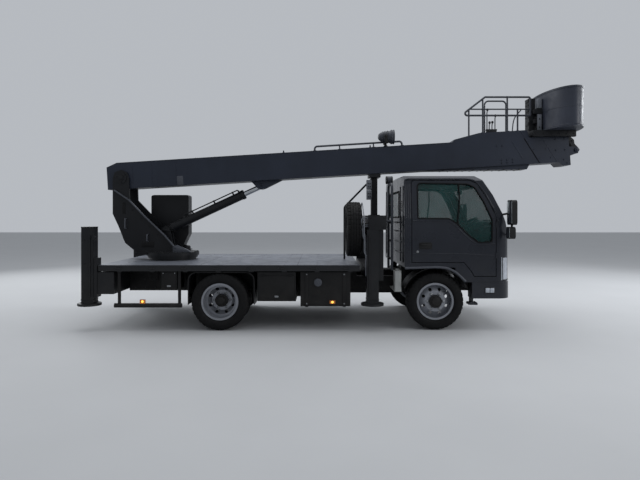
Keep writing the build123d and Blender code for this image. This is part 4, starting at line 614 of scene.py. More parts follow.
for name, side in SIDES.items():
    door = f"cab_door_{name}"
    outward = (0, side, 0)
    seal = Piece(f"door_window_seal_{name}", "seal", door)
    seal.pipe(on_skin(loop(WINDOW), side), 0.03, 0.009)
    seal.tube(on_skin(WINDOW_BAR, side, -0.006), 0.01)
    crease = Piece(f"door_creases_{name}", "cab", door)
    crease.pipe(on_skin(BELT_TRIM, side, -0.004), 0.06, 0.01)
    crease.pipe(on_skin(LOW_CREASE, side, -0.005), 0.06, 0.008)

    handle = Piece(f"door_handle_{name}", "black", door)
    handle.slab(side, (0.942, CAB_HALF_W - 0.004, 1.047), (1.095, CAB_HALF_W + 0.004, 1.123))
    handle.pipe(on_skin(loop(HANDLE), side, 0.003), 0.012, 0.005)
    handle.slab(side, (0.955, CAB_HALF_W + 0.004, 1.087), (1.082, CAB_HALF_W + 0.022, 1.113), 0.007)
    lock = Piece(f"door_lock_{name}", "steel", door)
    lock.lathe([(0, 0.016), (0.006, 0.016), (0.009, 0.012), (0.009, 0.006), (0.006, 0.004)],
               (0.917, side * CAB_HALF_W, 1.008), outward, 24)
    card = Piece(f"door_inner_panel_{name}", "trim", door)
    card.plate(DOOR_CARD, *across(side, CAB_HALF_W - 0.075, CAB_HALF_W - 0.053), 0.006)
    card.slab(side, (1.02, CAB_HALF_W - 0.12, 1.13), (1.36, CAB_HALF_W - 0.07, 1.17), 0.014)
    card.slab(side, (1.48, CAB_HALF_W - 0.107, 0.9), (1.82, CAB_HALF_W - 0.072, 0.985), 0.012)
    card.lathe([(0, 0.03), (0.012, 0.03), (0.016, 0.022), (0.024, 0.02)],
               (1.3, side * (CAB_HALF_W - 0.075), 1.06), (0, -side, 0), 20)

    rail = Piece(f"drip_rail_{name}", "cab")
    rail.pipe(on_skin(DRIP_RAIL, side, 0.002), 0.05, 0.011)
    for x in (0.772, 0.8, 0.824):
        rail.pipe(on_skin([(x, z) for z in (0.86, 1.2, 1.437, 1.66, 1.88)], side, -0.003),
                  0.02, 0.006)
    # The lip is a real moulding, but its paler grey is a painted highlight: the light on its upward
    # edge is painted into its colour.
    lip = Piece(f"wheel_arch_lip_painted_highlight_{name}", "flange")
    lip.pipe(on_skin(ARCH_LIP, side, -0.002), 0.1, 0.016)
    marker = Piece(f"side_marker_{name}", "lens_clear")
    for x in (1.781, 1.84):
        marker.slab(side, (x, 0.971, 0.488), (x + 0.053, 0.984, 0.548), 0.006)
    edge = Piece(f"side_marker_frame_{name}", "black")
    edge.pipe(on_skin(loop(MARKER_FRAME), side, 0.009), 0.01, 0.005)

    mirror = Piece(f"mirror_faces_{name}", "mirror")
    mirror.slab(side, (2.04, MIRROR_Y - 0.078, 1.372), (2.046, MIRROR_Y + 0.078, 1.648), 0.02)
    mirror.slab(side, (2.023, LOW_MIRROR_Y - 0.058, 1.195), (2.029, LOW_MIRROR_Y + 0.058, 1.315),
                0.02)
    shell = Piece(f"mirror_ribs_{name}", "black")
    for z in (1.4, 1.51, 1.62):
        shell.pipe([(x, side * MIRROR_Y + y, z) for x, y in
                    ((2.104, -0.085), (2.111, -0.05), (2.111, 0.05), (2.104, 0.085))], 0.02, 0.004)
    shell.bolts([(2.104, side * 1.03, z) for z in (1.44, 1.58)], FORWARD, 0.006)
    step = Piece(f"step_tread_{name}", "steel")
    for place in range(5):
        x = 1.594 + 0.023 * place
        step.slab(side, (x, 0.79, 0.345), (x + 0.009, 0.917, 0.3535), 0.003)


# Front of the cab

SCREEN = [(0.9, 2.153), (1.09, 2.133), (1.389, 2.056), (1.736, 1.89), (1.932, 1.762),
          (2.008, 1.64)]    # height and x of the raked front
NOSE_X = 2.153
NOSE_BOW = 8.493             # radius of the nose's bow in plan
CORNER = Vector((1.945, 0.795, 0))
CORNER_RADIUS = 0.17


def screen_x(z):
    """How far forward the cab's raked front stands at height z."""
    for (z0, x0), (z1, x1) in zip(SCREEN, SCREEN[1:]):
        if z <= z1:
            return x0 + (x1 - x0) * (z - z0) / (z1 - z0)
    return SCREEN[-1][1]


def on_screen(y, z, out=0.004):
    """A place in front of the windscreen's plane."""
    return Vector((screen_x(z) + out, y, z))


def nose_x(y):
    """How far forward the bowed nose stands at y."""
    return NOSE_X - y * y / (2 * NOSE_BOW)


def corner_normal(phi):
    """The way that the corner faces at an angle from straight ahead."""
    return Vector((cos(radians(phi)), sin(radians(phi)), 0))


def corner_plan(phi):
    """A place on the rounded front corner, by the angle of its normal."""
    return CORNER + CORNER_RADIUS * corner_normal(phi)


seal = Piece("windscreen_seal", "seal")
edge = [(-0.838, 1.372), (-0.802, 1.736), (-0.79, 1.865), (0.79, 1.865), (0.802, 1.736),
        (0.838, 1.372), (0.5, 1.372), (0.0, 1.372), (-0.5, 1.372)]
seal.pipe(loop([on_screen(y, z) for y, z in edge]), 0.05, 0.014)
seal.pipe(loop([(0.749, y, z) for y, z in
                ((-0.52, 1.45), (0.52, 1.45), (0.52, 1.8), (-0.52, 1.8))]), 0.05, 0.012)

wipers = Piece("wipers", "black")
for pivot, tip in ((-0.62, 0.02), (0.05, 0.66)):
    wipers.lathe([(0, 0.02), (0.012, 0.02), (0.022, 0.012)], on_screen(pivot, 1.33, -0.002),
                 (0.9, 0, 0.35), 20)
    wipers.pipe([on_screen(pivot, 1.33, 0.022), on_screen(pivot + 0.12, 1.352, 0.028),
                 on_screen((pivot + tip) / 2, 1.404, 0.03)], 0.05, 0.006)
    wipers.tube([on_screen(pivot + 0.16, 1.398, 0.026), on_screen(tip, 1.408, 0.026)], 0.005)
    wipers.block((screen_x(1.4) + 0.001, pivot + 0.16, 1.392),
                 (screen_x(1.4) + 0.026, tip, 1.404), 0.003)

mesh = Piece("grille_mesh", "black")
for low, place in product((0.69, 0.744, 0.798, 0.852), range(29)):
    y = -0.546 + place * 0.039
    x = nose_x(y)
    mesh.block((x - 0.024, y - 0.003, low), (x - 0.006, y + 0.003, low + 0.03), 0.001)
bars = Piece("grille_bars", "steel")
for z in (0.736, 0.79, 0.844):
    bars.tube([(nose_x(y) + 0.001, y, z) for y in (-0.55, -0.4, -0.2, 0, 0.2, 0.4, 0.55)], 0.0045)

holder = Piece("plate_holder", "black")
holder.block((2.158, -0.235, 0.425), (2.166, 0.235, 0.602), 0.006)
for y in (-0.12, 0.12):
    holder.block((-3.213, y - 0.03, 0.59), (-3.16, y + 0.03, 0.64), 0.003)
blank = Piece("blank_plates", "plate")
blank.block((2.164, -0.22, 0.438), (2.17, 0.22, 0.59), 0.003)
blank.block((-3.217, -0.2, 0.54), (-3.212, 0.2, 0.69), 0.003)

FOG_Y = 0.62
LAMP_LOW, LAMP_HIGH = 0.648, 0.936
for name, side in SIDES.items():
    place = (nose_x(FOG_Y) + 0.002, side * FOG_Y, 0.505)
    Piece(f"fog_lamp_{name}", "lens_clear").lathe(
        [(0, 0.055), (0.006, 0.054), (0.01, 0.046), (0.012, 0.02)], place, FORWARD, 28)
    Piece(f"lamp_bezels_{name}", "black").lathe(
        [(-0.004, 0.064), (0.008, 0.064), (0.012, 0.058), (0.008, 0.055), (-0.004, 0.055)],
        place, FORWARD, 28)

    bezel = Piece(f"headlamp_bezel_{name}", "black")
    plan = [Vector((nose_x(y), y, 0)) for y in (0.64, 0.7, 0.76)]
    plan += [corner_plan(phi) for phi in range(4, 76, 8)]
    low = [(p.x, side * p.y, LAMP_LOW) for p in plan]
    high = [(p.x - 0.004, side * p.y, LAMP_HIGH) for p in reversed(plan)]
    bezel.tube(bend(loop([*low, *high]), 0.004, 2), 0.006)
    edge = corner_plan(34)
    bezel.tube([(edge.x, side * edge.y, LAMP_LOW),
                (edge.x - 0.003, side * edge.y, LAMP_HIGH)], 0.005)
    # A thin panel that follows the corner from one angle to another
    part = bmesh.new()
    rings = []
    for step in range(11):
        phi = 38 + 3.2 * step
        inner, outer = (corner_plan(phi) + corner_normal(phi) * out for out in (-0.003, 0.0025))
        rings.append([part.verts.new((p.x, side * p.y, z)) for p, z in
                      ((inner, 0.664), (outer, 0.664), (outer, 0.92), (inner, 0.92))])
    stitch(part, rings)
    Piece(f"headlamp_turn_{name}", "lens_clear").take(part)
    rings = Piece(f"headlamp_rings_{name}", "rod")
    for y, z, radius in ((0.712, 0.845, 0.052), (0.712, 0.722, 0.046)):
        rings.lathe([(-0.004, radius), (0.004, radius), (0.006, radius - 0.004),
                     (0.004, radius - 0.009), (0.002, radius - 0.02), (0.003, 0.01)],
                    (nose_x(y) - 0.0005, side * y, z), (1, side * 0.08, 0), 36)
seam = Piece("nose_seams", "seal")
for z, reach in ((0.962, 0.78), (1.33, 0.8)):
    seam.tube([(min(screen_x(z), nose_x(y)) + 0.0004, y, z)
               for y in (reach * step / 8 for step in range(-8, 9))], 0.0028, 8)
slats = Piece("bumper_slats", "black")
for place, side in product(range(9), BOTH):
    y = 0.25 + place * 0.021
    slats.slab(side, (2.12, y - 0.004, 0.468), (2.146, y + 0.004, 0.542), 0.002)


# Inside and back of the cab

dash = Piece("instruments", "black")
dash.plate([(1.742, 1.272), (1.8, 1.308), (1.9, 1.322), (1.85, 1.385), (1.775, 1.375)],
           -0.6, -0.26, 0.012)
for y in (-0.76, -0.16, 0.16, 0.76):
    dash.block((1.762, y - 0.055, 1.245), (1.8, y + 0.055, 1.3), 0.008)
dash.block((1.728, -0.12, 1.115), (1.79, 0.12, 1.235), 0.012)
dash.pipe([(1.6, -0.12, 0.87), (1.59, -0.13, 1.02), (1.56, -0.15, 1.1)], 0.06, 0.009)
dash.lathe([(0, 0.012), (0.012, 0.022), (0.034, 0.024), (0.046, 0.014)], (1.56, -0.15, 1.095),
           (-0.3, -0.1, 0.9), 20)
dash.block((1.44, -0.16, 0.862), (1.66, -0.08, 0.885), 0.01)
for y in (-0.57, -0.43, -0.31):
    dash.block((1.715, y - 0.03, 0.925), (1.735, y + 0.03, 0.985), 0.006)
    dash.tube([(1.725, y, 0.98), (1.8, y, 1.1)], 0.007)
for turn in BOTH:
    dash.tube([(1.712, -0.43 + turn * 0.012, 1.272), (1.69, -0.43 + turn * 0.2, 1.3)], 0.007)

wheel = Piece("steering_wheel_rim", "black")
tilt = Vector((-0.55, 0, 0.835)).normalized()
sideways = Vector((0, 1, 0))
ahead = sideways.cross(tilt)
centre = Vector((1.668, -0.43, 1.33))
wheel.tube([centre + c * sideways + s * ahead for c, s in around(48, 0.19)], 0.0155, closed=True)
wheel.lathe([(-0.01, 0.062), (0.012, 0.06), (0.022, 0.048), (0.026, 0.02)], centre, tilt, 28)

lining = Piece("cab_lining", "trim")
for y in (-0.45, 0.45):
    lining.block((1.62, y - 0.2, 1.842), (1.76, y + 0.2, 1.868), 0.01)
lining.block((0.85, -0.74, 1.905), (1.6, 0.74, 1.938), 0.01)
lining.block((0.801, -0.8, 0.9), (0.822, 0.8, 1.42), 0.008)
inner_mirror = Piece("inner_mirror", "black")
inner_mirror.block((1.7, -0.1, 1.775), (1.72, 0.1, 1.83), 0.01)
inner_mirror.tube([(1.71, 0, 1.83), (1.725, 0, 1.9)], 0.006)
mat = Piece("floor_mat", "seal")
mat.block((1.5, -0.8, SEAT_FLOOR + 0.001), (1.7, 0.8, SEAT_FLOOR + 0.01))
for place in range(12):
    y = -0.75 + place * 0.136
    mat.block((1.52, y - 0.004, SEAT_FLOOR + 0.008), (1.69, y + 0.004, SEAT_FLOOR + 0.014), 0.002)

wall = Piece("cab_rear_ribs", "cab")
for z in (0.98, 1.12, 1.26, 1.38):
    wall.block((0.74, -0.7, z - 0.012), (0.7525, 0.7, z + 0.012), 0.006)
for y in (-0.84, -0.62, 0.62, 0.84):
    wall.block((0.742, y - 0.012, 0.86), (0.7525, y + 0.012, 1.86), 0.006)
vent = Piece("cab_rear_vents", "black")
for y, place in product((-0.73, 0.73), range(6)):
    z = 1.53 + 0.024 * place
    vent.block((0.741, y - 0.055, z), (0.7525, y + 0.055, z + 0.012), 0.003)


# Seats: the middle and the half width of each

SEATS = {"driver": (-0.48, 0.25), "middle": (0.06, 0.2), "passenger": (0.5, 0.23)}
GROOVE_HALF_W = 0.035        # as a share of the cushion's half size
GROOVE_DEPTH = 0.007


def cushion(name, size, place, channels, crown):
    """A padded block: swollen faces, tucked edges and sewn channels across it."""
    part = bmesh.new()
    bmesh.ops.create_cube(part, size=2.0)
    bmesh.ops.subdivide_edges(part, edges=part.edges[:], cuts=27, use_grid_fill=True)
    half = Vector(size) / 2
    for vertex in part.verts:
        x, y, z = vertex.co
        swell = (1 - x ** 4) * (1 - y ** 4)
        edge = (abs(x) ** 6 + abs(y) ** 6 + abs(z) ** 6) ** (1 / 6)
        x, y, z = x / edge, y / edge, z / edge
        lift = -crown * 0.4
        if z > 0:
            lift += crown * swell
        if z > 0.5:
            offsets = [(y if axis == "y" else x) - spot for axis, spot in channels]
            groove = sum(max(0.0, 1 - (offset / GROOVE_HALF_W) ** 2) for offset in offsets)
            lift += 0.0012 * sin(31 * x + 5 * y) * sin(27 * y + 3 * x)
            lift -= GROOVE_DEPTH * min(1.0, groove)
        vertex.co = Vector((x * (half.x - crown * 0.2), y * (half.y - crown * 0.2),
                            z * (half.z - crown * 0.5) + lift))
    data = bpy.data.meshes.new(name)
    part.transform(place)
    part.to_mesh(data)
    part.free()
    data.materials.append(MAT["cloth"])
    data.shade_smooth()
    thing = add_object(name, data)
    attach(thing, "truck")
    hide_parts("seats")


UPRIGHT = Matrix.Rotation(radians(90), 4, "Y")
LEAN = Matrix.Rotation(radians(-12), 4, "Y")
bases = Piece("seat_bases", "trim")
piping = Piece("seat_piping", "seal")
belts = Piece("seat_belts", "seal")
for name, (y, half) in SEATS.items():
    cushion(f"seat_cushion_{name}", (0.49, 2 * half, 0.14),
            Matrix.Translation((1.255, y, SEAT_FLOOR + 0.16)),
            [("y", -0.45), ("y", 0.45), ("x", 0.0)], 0.016)
    foot = Matrix.Translation((1.012, y, SEAT_FLOOR + 0.2))
    cushion(f"seat_back_{name}", (0.52, 2 * half, 0.12),
            foot @ LEAN @ Matrix.Translation((0, 0, 0.26)) @ UPRIGHT,
            [("y", -0.45), ("y", 0.45), ("x", -0.2), ("x", 0.35)], 0.014)
    cushion(f"head_rest_{name}", (0.15, 0.22, 0.08),
            Matrix.Translation((0.905, y, SEAT_FLOOR + 0.74)) @ UPRIGHT, [("x", 0.0)], 0.01)
    bases.block((1.04, y - half + 0.03, SEAT_FLOOR),
                (1.47, y + half - 0.03, SEAT_FLOOR + 0.092), 0.012)
    for x in (1.1, 1.4):
        bases.block((x - 0.02, y - half + 0.02, SEAT_FLOOR),
                    (x + 0.02, y + half - 0.02, SEAT_FLOOR + 0.012), 0.003)
    for dy in (-0.04, 0.04):
        bases.rod((0.916, y + dy, SEAT_FLOOR + 0.62), (0.905, y + dy, SEAT_FLOOR + 0.7), 0.007)
    near, far = y - half + 0.012, y + half - 0.012
    piping.pipe(loop([(x, edge, SEAT_FLOOR + 0.186) for x, edge in
                      ((1.02, near), (1.49, near), (1.49, far), (1.02, far))]), 0.04, 0.005)
    inward = 1 if y < 0 else -1
    belts.block((1.035, y + inward * (half - 0.02), 1.03),
                (1.075, y + inward * (half - 0.04), 1.12), 0.006)


# Chassis

RAIL_Y = 0.425
SPRING_Y = 0.456
heads = Piece("rail_bolts", "machine")
for side, place in product(BOTH, range(36)):
    x = -2.88 + place * 0.136
    if not (0.98 < x < 1.34 or -1.7 < x < -1.52):
        heads.bolts([(x, side * RAIL_Y, z) for z in (0.48, 0.6 if x < 1.44 else 0.56)],
                    (0, side, 0), 0.0075)
plates = Piece("sill_plates", "chassis")
for side, x in product(BOTH, (-2.62, -2.24, -0.95, -0.52, -0.1)):
    plates.slab(side, (x - 0.06, RAIL_Y - 0.001, 0.58), (x + 0.06, RAIL_Y + 0.009, 0.742), 0.003)
    plates.bolts(product((x - 0.035, x + 0.035), [side * (RAIL_Y + 0.009)], (0.605, 0.715)),
                 (0, side, 0), 0.008)

clamps = Piece("spring_clamps", "axle")
for (x, top, low), side in product(((FRONT_AXLE_X, 0.44, 0.262), (REAR_AXLE_X, 0.472, 0.3)), BOTH):
    for dx, dy in product((-0.055, 0.055), (-0.037, 0.037)):
        place = Vector((x + dx, side * (SPRING_Y + dy), low))
        clamps.rod(place + Vector((0, 0, 0.01)), (*place.xy, top + 0.006), 0.008)
        clamps.bolt(place + Vector((0, 0, 0.012)), DOWN, 0.011)
    for z in (top - 0.004, low + 0.01):
        clamps.slab(side, (x - 0.07, SPRING_Y - 0.048, z), (x + 0.07, SPRING_Y + 0.048, z + 0.014))
dampers = Piece("dampers", "axle")
for (x, reach), side in product(((FRONT_AXLE_X - 0.12, 0.1), (REAR_AXLE_X - 0.13, 0.12)), BOTH):
    low, high = Vector((x, side * 0.39, 0.31)), Vector((x - reach, side * 0.402, 0.6))
    half = low.lerp(high, 0.52)
    dampers.rod(low, half, 0.03, 20)
    dampers.rod(half, high, 0.022, 20)
    dampers.lathe([(0, 0.034), (0.03, 0.034)], half - Vector((0, 0, 0.02)), UP, 20)
for side in BOTH:
    brake = Vector((REAR_AXLE_X, side * 0.345, 0.42))
    dampers.lathe([(0, 0.055), (0.02, 0.072), (0.07, 0.075), (0.09, 0.072), (0.11, 0.045)],
                  brake + Vector((0.1, 0, 0)), FORWARD, 28)
    dampers.rod(brake + Vector((0.04, 0, 0)), brake + Vector((0.11, 0, 0)), 0.012)
cover = Piece("axle_cover_bolts", "axle")
cover.bolts([(REAR_AXLE_X - 0.098, 0.1024 * c, AXLE_Z + 0.11 * s) for c, s in around(12, 1)],
            (-1, 0, 0), 0.008)
cover.bolts([(0.429, y, 0.54 + dz) for y, dz in around(6, 0.085)], (-1, 0, 0), 0.008)

ribs = Piece("engine_ribs", "axle")
ribs.block((0.93, -0.19, 0.33), (1.33, 0.19, 0.405), 0.02)
for x, side in product((0.9, 1.0, 1.1, 1.2, 1.3), BOTH):
    ribs.slab(side, (x - 0.01, 0.268, 0.42), (x + 0.01, 0.284, 0.76), 0.005)
for x in (0.5, 0.6, 0.7, 0.8):
    for side in BOTH:
        ribs.slab(side, (x - 0.008, 0.128, 0.44), (x + 0.008, 0.142, 0.69))
    ribs.block((x - 0.008, -0.12, 0.418), (x + 0.008, 0.12, 0.432))
ribs.lathe([(0, 0.05), (0.02, 0.052), (0.13, 0.052), (0.15, 0.04)], (1.18, -0.285, 0.47),
           (0, -1, 0), 24)
Piece("engine_bolts", "axle").bolts(
    product((0.96, 1.06, 1.16, 1.26), (-0.175, 0.175), [0.404]), DOWN, 0.008)


# Deck and what hangs under it

hooks = Piece("rope_hooks", "machine")
hook_z = DECK_TOP - 0.04
for side, place in product(BOTH, range(8)):
    x, y = -2.9 + place * 0.415, side * (DECK_HALF_W - 0.001)
    hooks.pipe([(x + dx, y + side * out, hook_z + dz) for dx, out, dz in
                ((-0.035, 0, 0.012), (-0.035, 0.014, 0), (0.035, 0.014, 0), (0.035, 0, 0.012))],
               0.01, 0.005)
bolts = Piece("deck_bolts", "flange")
for place, y in product(range(8), (-0.9, -0.62, -0.36, 0.36, 0.62, 0.9)):
    x = DECK_X[0] + 0.26 + place * (DECK_X[1] - DECK_X[0] - 0.38) / 7
    if hypot(x - SLEW_X, y) >= 0.48:
        bolts.lathe([(0, 0.012), (0.0015, 0.01), (0.0025, 0.006)], (x, y, DECK_TOP), UP, 16)
seams = Piece("deck_seams", "seal")
for x in (-1.86, -0.62):
    seams.block((x - 0.0015, -DECK_HALF_W + 0.03, DECK_TOP - 0.001),
                (x + 0.0015, DECK_HALF_W - 0.03, DECK_TOP + 0.0006), 0.0004)
edge = Piece("deck_edge_strip", "edge")
for side in BOTH:
    edge.slab(side, (DECK_X[0] + 0.01, DECK_HALF_W - 0.004, DECK_TOP - 0.012),
              (DECK_X[1] - 0.01, DECK_HALF_W + 0.003, DECK_TOP + 0.002), 0.002)
tail = Piece("tail_lamp_lenses", "lens_red")
amber = Piece("tail_turn_lenses", "lens_orange")
for side, (piece, near, far) in product(BOTH, ((tail, 0.525, 0.6), (tail, 0.604, 0.675),
                                               (amber, 0.679, 0.752))):
    piece.slab(side, (-3.2265, near, 0.568), (-3.2145, far, 0.664), 0.005)

lids = Piece("box_lids", "chassis")
metal = Piece("box_latches", "steel")
for side in BOTH:
    outward = (0, side, 0)
    out = side * BOX_FACE
    lids.slab(side, (-2.35, BOX_FACE, 0.53), (-2.171, BOX_FACE + 0.008, 0.745), 0.003)
    lids.slab(side, (-1.112, BOX_FACE, 0.405), (-0.658, BOX_FACE + 0.008, 0.7))
    for x in (-1.06, -0.71):
        lids.rod((x - 0.03, out + side * 0.01, 0.704), (x + 0.03, out + side * 0.01, 0.704), 0.007)
    for x in (-0.5, -0.02):
        lids.slab(side, (x - 0.02, BOX_FACE, 0.318),
                  (x + 0.02, BOX_FACE + (0.01 if side > 0 else 0.008), 0.745), 0.002)
        lids.slab(side, (x - 0.02, 0.5, 0.3015), (x + 0.02, BOX_FACE, 0.3085), 0.002)
    metal.slab(side, (-2.285, BOX_FACE + 0.006, 0.56), (-2.235, BOX_FACE + 0.016, 0.582), 0.003)
    metal.slab(side, (-0.91, BOX_FACE + 0.006, 0.425), (-0.86, BOX_FACE + 0.016, 0.45), 0.003)
    metal.bolts([(x, out + side * 0.008, 0.735) for x in (-2.335, -2.186)], outward, 0.005)
    metal.bolts(product((-0.5, -0.02), [out + side * 0.008], (0.345, 0.72)), outward, 0.006)
cap = Piece("filler_cap", "flange")
cap.lathe([(0, 0.047), (0.006, 0.05), (0.016, 0.05), (0.02, 0.044), (0.02, 0.036), (0.024, 0.034),
           (0.024, 0.012)], (-0.355, -0.959, 0.617), (0, -1, 0), 36)
cap.block((-0.385, -0.987, 0.61), (-0.325, -0.978, 0.624), 0.003)

lips = Piece("fender_lips", "black")
stays = Piece("fender_stays", "chassis")
for side in BOTH:
    x_low, x_high = REAR_AXLE_X - 0.403, REAR_AXLE_X + 0.44
    arch = ((x_low, 0.335), (x_low, 0.743), (x_high, 0.743), (x_high, 0.335))
    lips.tube(bend([(x, side * 0.954, z) for x, z in arch], 0.115, 10), 0.006)
    for x in (x_low + 0.005, x_high - 0.005):
        stays.rod((x, side * 0.54, 0.42), (x, side * 0.95, 0.42), 0.009)
glow = Piece("side_lamps_lit", "lens_amber")
for side, (x, y, z) in product(BOTH, ((-2.6, 0.961, 0.373), (-0.171, 0.97, 0.367))):
    glow.lathe([(0, 0.016), (0.005, 0.0155), (0.009, 0.01), (0.01, 0.003)], (x, side * y, z),
               (0, side, 0), 24)


# Jacks

columns = Piece("column_bolts", "machine")
fittings = Piece("column_fittings", "machine")
seals = Piece("column_seals", "seal")
for x, side in product((0.268, -3.366), BOTH):
    outward = (0, side, 0)
    for z in (0.366, 0.4):
        fittings.slab(side, (x - 0.005, 0.845, z - 0.008), (x + 0.155, 1.005, z + 0.008), 0.003)
    seals.slab(side, (x + 0.018, 0.868, 0.3495), (x + 0.132, 0.982, 0.357), 0.003)
    columns.bolts(product((x + 0.04, x + 0.11), [side * COLUMN_FACE], (0.52, 0.86, 1.16)),
                  outward, 0.008)
    line_x, line_y = x + (0.112 if x < 0 else 0.03), side * (COLUMN_FACE + 0.008)
    fittings.rod((line_x, line_y, 0.44), (line_x, line_y, 1.22), 0.007)
    for z in (0.46, 0.84, 1.2):
        fittings.slab(side, (line_x - 0.014, COLUMN_FACE, z - 0.008),
                      (line_x + 0.014, COLUMN_FACE + 0.016, z + 0.008), 0.002)
PIN_X, PIN_Z = -3.196, 1.19
for side in BOTH:
    fittings.lathe([(0, 0.03), (0.01, 0.03), (0.014, 0.022), (0.03, 0.02)],
                   (PIN_X, side * COLUMN_FACE, PIN_Z), (0, side, 0), 20)
    pin_y = side * (COLUMN_FACE + 0.02)
    columns.rod((PIN_X, pin_y, PIN_Z), (PIN_X, pin_y, PIN_Z + 0.055), 0.006)
    fittings.slab(side, (-3.37, 0.846, 1.318), (-3.212, 1.004, 1.33))
for (end, x), (name, side) in product((("front", 0.343), ("rear", -3.291)), SIDES.items()):
    Piece(f"pad_rim_{end}_{name}", "machine", f"jack_leg_{end}_{name}").lathe(
        [(0, 0.138), (0.004, 0.14), (0.006, 0.12), (0.018, 0.07)],
        (x, side * 0.925, 0.3475), UP, 40)


# Portal, the boom's rest on it and the control boxes

REST_X = 0.46
PORTAL_TOP = 1.4735
PORTAL_END = 1.0035          # outer face of the trim at each end
CONTROL_FACE = -0.1255       # near face of the control boxes
trim = Piece("portal_trim", "machine")
bolts = Piece("portal_bolts", "machine")
for side in BOTH:
    trim.slab(side, (0.292, 0.993, 1.296), (0.508, PORTAL_END, 1.464))
    bolts.bolts(product((0.312, 0.488), [side * PORTAL_END], (1.316, 1.444)), (0, side, 0), 0.009)
trim.block((0.284, -1.0, 1.463), (0.516, 1.0, PORTAL_TOP), 0.003)
bolts.bolts(product((0.4, 0.52), (-0.075, 0.075), [PORTAL_TOP]), UP, 0.011)
lines = Piece("portal_pipes", "light")
for place, z in enumerate((1.33, 1.352, 1.44)):
    x = 0.23 - 0.014 * place
    lines.pipe([(0.286, -0.94, z), (x, -0.955, z), (x, -0.955, z - 0.14), (0.252, -0.955, z - 0.22),
                (0.258, -0.955, 0.7)], 0.03, 0.006)
Piece("rest_flanges", "machine").block((0.385, -0.1, 1.47), (0.535, 0.1, 1.484), 0.003)
rest = on_boom((REST_X - PIVOT.x) / cos(BOOM_SLOPE), 0, BOOM_LOW)
Piece("rest_pad", "seal").block((-0.07, -0.14, -0.0175), (0.07, 0.14, -0.0072), 0.003,
                                Matrix.Translation(rest) @ Matrix.Rotation(-BOOM_SLOPE, 4, "Y"))
faces = Piece("control_box_fronts", "light")
for low, high in ((1.712, 1.835), (1.857, 1.981)):
    faces.block((0.352, CONTROL_FACE, low), (0.408, CONTROL_FACE + 0.004, high), 0.003)
knobs = Piece("control_box_knobs", "black")
for place in product((0.366, 0.394), [CONTROL_FACE], (1.745, 1.79, 1.89, 1.935)):
    knobs.lathe([(0, 0.008), (0.006, 0.008), (0.01, 0.006)], place, (0, -1, 0), 16)


# Spare wheel, ladder and work lamp

nuts = Piece("spare_nuts", "steel")
nuts.bolts([SPARE + Vector((0.062, dy, dz)) for dy, dz in around(6, STUD_RADIUS, 30)],
           FORWARD, 0.012)
nuts.lathe([(-0.004, 0.03), (0.012, 0.03), (0.02, 0.016)], SPARE, (-1, 0, 0), 6)
Piece("spare_guard_rod", "light").pipe(
    [(0.288, -0.3, 1.4), (0.234, -0.3, 1.44), (0.234, -0.62, 1.672), (0.234, -0.985, 1.44),
     (0.234, -0.985, 0.99), (0.286, -0.985, 0.94)], 0.1, 0.006)

grips = Piece("rung_grips", "seal")
for z, place in product((0.9, 1.14, 1.38, 1.62), range(12)):
    grips.lathe([(0, 0.0145), (0.01, 0.0145)], (0.61, -0.78 + place * 0.0245, z), (0, 1, 0), 14)
work_lamp = (0.604, -0.56, 1.952)
rim = Piece("work_lamp_rim", "black")
rim.lathe([(-0.036, 0.03), (-0.044, 0.04), (-0.04, 0.0535), (-0.028, 0.0545), (-0.02, 0.0525)],
          work_lamp, FORWARD)
rim.lathe([(0.03, 0.0525), (0.04, 0.0545), (0.048, 0.05), (0.044, 0.044)], work_lamp, FORWARD)
Piece("work_lamp_lens", "lens_clear").lathe(
    [(-0.046, 0.006), (-0.044, 0.03), (-0.038, 0.046), (-0.034, 0.047)], work_lamp, FORWARD)


# Turret

TURRET = "slewing_turret"
CHEEK_Y = 0.184              # outer face of a cheek
CHEEK_FRONT = [(-2.385, 1.01), (-2.542, 1.196), (-2.827, 1.467), (-3.05, 1.7), (-3.262, 1.842)]
CYLINDER_PIN = (-2.57, 1.262)    # x and z
MOTOR = (SLEW_X + 0.12, 0.262)    # x and y of the slewing motor
TURNTABLE_TOP = 0.9503
bolts = Piece("turntable_bolts", "machine", TURRET)
for dx, y in around(28, 0.35):
    x = SLEW_X + dx
    if not (0.145 < abs(y) < 0.225 or hypot(x - MOTOR[0], y - MOTOR[1]) < 0.1):
        bolts.bolt((x, y, TURNTABLE_TOP), UP, 0.01)
keepers = Piece("pivot_keepers", "machine", TURRET)
cover = Piece("cheek_covers", "chassis", TURRET)
welds = Piece("turret_welds", "machine", TURRET)
for side in BOTH:
    outward = (0, side, 0)
    bolts.bolts([(PIVOT.x + dx, side * 0.195, PIVOT.z + dz) for dx, dz in around(3, 0.064, 40)],
                outward, 0.008)
    bolts.bolts([(CYLINDER_PIN[0] + dx, side * 0.069, CYLINDER_PIN[1]) for dx in (-0.05, 0.05)],
                outward, 0.007)
    keepers.lathe([(0, 0.03), (0.006, 0.032), (0.009, 0.026)], (PIVOT.x, side * 0.2, PIVOT.z),
                  outward, 28)
    keepers.slab(side, (-2.632, 0.078, 1.244), (-2.508, 0.086, 1.28), 0.003)
    cover.slab(side, (-3.15, CHEEK_Y, 1.5), (-3.11, CHEEK_Y + 0.006, 1.66), 0.003)
    cover.slab(side, (-2.88, CHEEK_Y, 1.02), (-2.7, CHEEK_Y + 0.006, 1.1), 0.003)
    cover.bolts(product((-3.142, -3.118), [side * (CHEEK_Y + 0.006)], (1.508, 1.652)),
                outward, 0.004)
    for y in (side * 0.158, side * 0.187):
        welds.tube([(-2.945, y, 0.952), (-2.392, y, 0.952)], 0.005, 8)
    welds.tube([(-3.118, side * 0.159, 1.12), (-3.24, side * 0.159, 1.48)], 0.005, 8)
bolts.bolts([(x, -0.185, z) for x, z in ((-2.65, 1.205), (-2.77, 1.315), (-2.89, 1.43),
                                         (-3.01, 1.555))], (0, -1, 0), 0.008)
